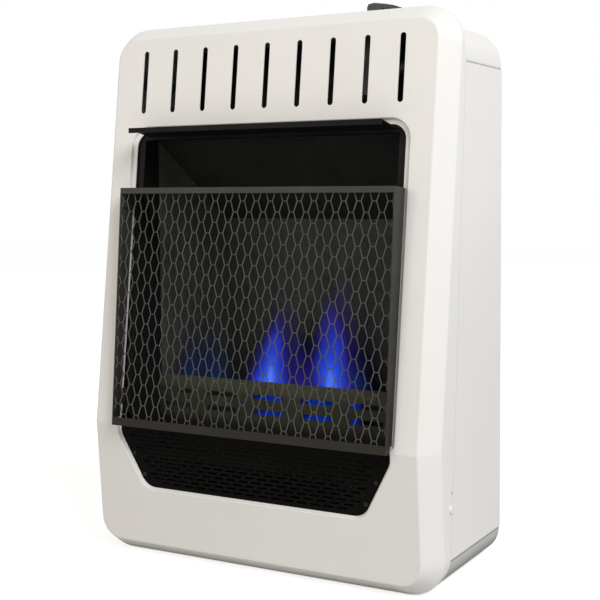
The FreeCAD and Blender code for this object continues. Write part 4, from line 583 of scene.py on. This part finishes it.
def add_flames():
    blue = flame_glow("flame_blue", 1.15, BLUE, SOFT)
    violet = flame_glow("flame_violet", 1.0, VIOLET, FAINT)
    navy = flame_glow("flame_navy", 1.0, NAVY, FAINT)
    port = flame_glow("flame_port", 0.52, PORT, DENSE)
    flame("flame_middle", [(-0.043, -0.034, BURNER_Y, FLAME_FOOT, 0.258, 0.036),
                           (-0.041, -0.030, BURNER_Y - 0.004, FLAME_FOOT, 0.236, 0.024)], blue)
    flame("flame_right", [(0.033, 0.029, BURNER_Y, FLAME_FOOT, 0.286, 0.035),
                          (0.034, 0.044, BURNER_Y - 0.004, FLAME_FOOT, 0.252, 0.026)], blue)
    flame("flame_veil", [(-0.004, -0.008, BURNER_Y + 0.004, FLAME_FOOT, 0.236, 0.034),
                         (0.032, 0.034, BURNER_Y + 0.010, FLAME_FOOT, 0.304, 0.050),
                         (-0.042, -0.028, BURNER_Y + 0.010, FLAME_FOOT, 0.280, 0.048)], violet)
    flame("flame_haze", [(-0.120, -0.112, HAZE_Y, HAZE_FOOT, 0.250, 0.034),
                         (-0.092, -0.100, HAZE_Y, HAZE_FOOT, 0.264, 0.036),
                         (0.062, 0.056, BURNER_Y + 0.006, HAZE_FOOT, 0.226, 0.020)], navy)
    for number, (x, half_width) in enumerate(PORT_FLAMES):
        tongues = [(x, x, PORT_Y, z - PORT_FALL, z + PORT_RISE, half_width) for z in PORT_ROWS]
        flame(f"port_flame_{number}", tongues, port)


add_flames()


# Stage: white surroundings, a pale floor and soft studio light

DOME_STRENGTH = 0.355
FLOOR_SIZE = 6
FLOOR_DROP = 0.0005
FLOOR_TONE = 0.62
FLOOR_GLOW = 0.72
LAMP_WIDTH = 1.6
LAMP_TARGET = (0, 0, 0.3)


def light_world():
    """A dim dome that lights the heater, and plain white where it is seen or mirrored."""
    world = bpy.data.worlds.new("studio")
    scene.world = world
    world.use_nodes = True
    tree = world.node_tree
    tree.nodes.clear()
    output = tree.nodes.new("ShaderNodeOutputWorld")
    mix = tree.nodes.new("ShaderNodeMixShader")
    dome = tree.nodes.new("ShaderNodeBackground")
    dome.inputs["Color"].default_value = (1.0, 0.99, 0.98, 1)
    dome.inputs["Strength"].default_value = DOME_STRENGTH
    white = tree.nodes.new("ShaderNodeBackground")
    white.inputs["Color"].default_value = (1, 1, 1, 1)
    white.inputs["Strength"].default_value = 1.0
    path = tree.nodes.new("ShaderNodeLightPath")
    mirrored = tree.nodes.new("ShaderNodeMath")
    mirrored.operation = "MAXIMUM"
    seen = tree.nodes.new("ShaderNodeMath")
    seen.operation = "MAXIMUM"
    tree.links.new(path.outputs["Is Camera Ray"], mirrored.inputs[0])
    tree.links.new(path.outputs["Is Glossy Ray"], mirrored.inputs[1])
    tree.links.new(mirrored.outputs[0], seen.inputs[0])
    tree.links.new(path.outputs["Is Transmission Ray"], seen.inputs[1])
    tree.links.new(seen.outputs[0], mix.inputs["Fac"])
    tree.links.new(dome.outputs[0], mix.inputs[1])
    tree.links.new(white.outputs[0], mix.inputs[2])
    tree.links.new(mix.outputs[0], output.inputs["Surface"])


def add_lamp(name, place, power, colour):
    data = bpy.data.lights.new(name, "AREA")
    data.size = LAMP_WIDTH
    data.energy = power
    data.color = colour
    lamp = bpy.data.objects.new(name, data)
    aim = (Vector(LAMP_TARGET) - Vector(place)).to_track_quat("-Z", "Y")
    lamp.matrix_world = Matrix.Translation(place) @ aim.to_matrix().to_4x4()
    scene.collection.objects.link(lamp)


def add_floor():
    """A pale floor that takes the heater's shadow and is lifted to white where the camera sees it."""
    mesh = bmesh.new()
    bmesh.ops.create_grid(mesh, x_segments=1, y_segments=1, size=FLOOR_SIZE)
    data = bpy.data.meshes.new("floor")
    mesh.to_mesh(data)
    mesh.free()
    floor = bpy.data.objects.new("floor", data)
    floor.location.z = -FLOOR_DROP
    scene.collection.objects.link(floor)
    r = Recipe("floor")
    r.set(Base_Color=(*grey(FLOOR_TONE), 1), Roughness=0.9, Specular_IOR_Level=0.1)
    path = r.add("ShaderNodeLightPath")
    glow = r.add("ShaderNodeEmission", Color=(1, 1, 1, 1), Strength=FLOOR_GLOW)
    lifted = r.add("ShaderNodeAddShader")
    shown = r.add("ShaderNodeMixShader")
    r.link(r.shader.outputs["BSDF"], lifted.inputs[0])
    r.link(glow.outputs[0], lifted.inputs[1])
    r.link(path.outputs["Is Camera Ray"], shown.inputs["Fac"])
    r.link(r.shader.outputs["BSDF"], shown.inputs[1])
    r.link(lifted.outputs[0], shown.inputs[2])
    r.link(shown.outputs[0], r.output.inputs["Surface"])
    data.materials.append(r.material)


light_world()
add_floor()
add_lamp("key", (2.45, -1.2, 2.4), 88, (0.975, 0.995, 1.02))
add_lamp("fill", (-1.2, -2.7, 1.4), 22, (1.0, 0.92, 0.80))
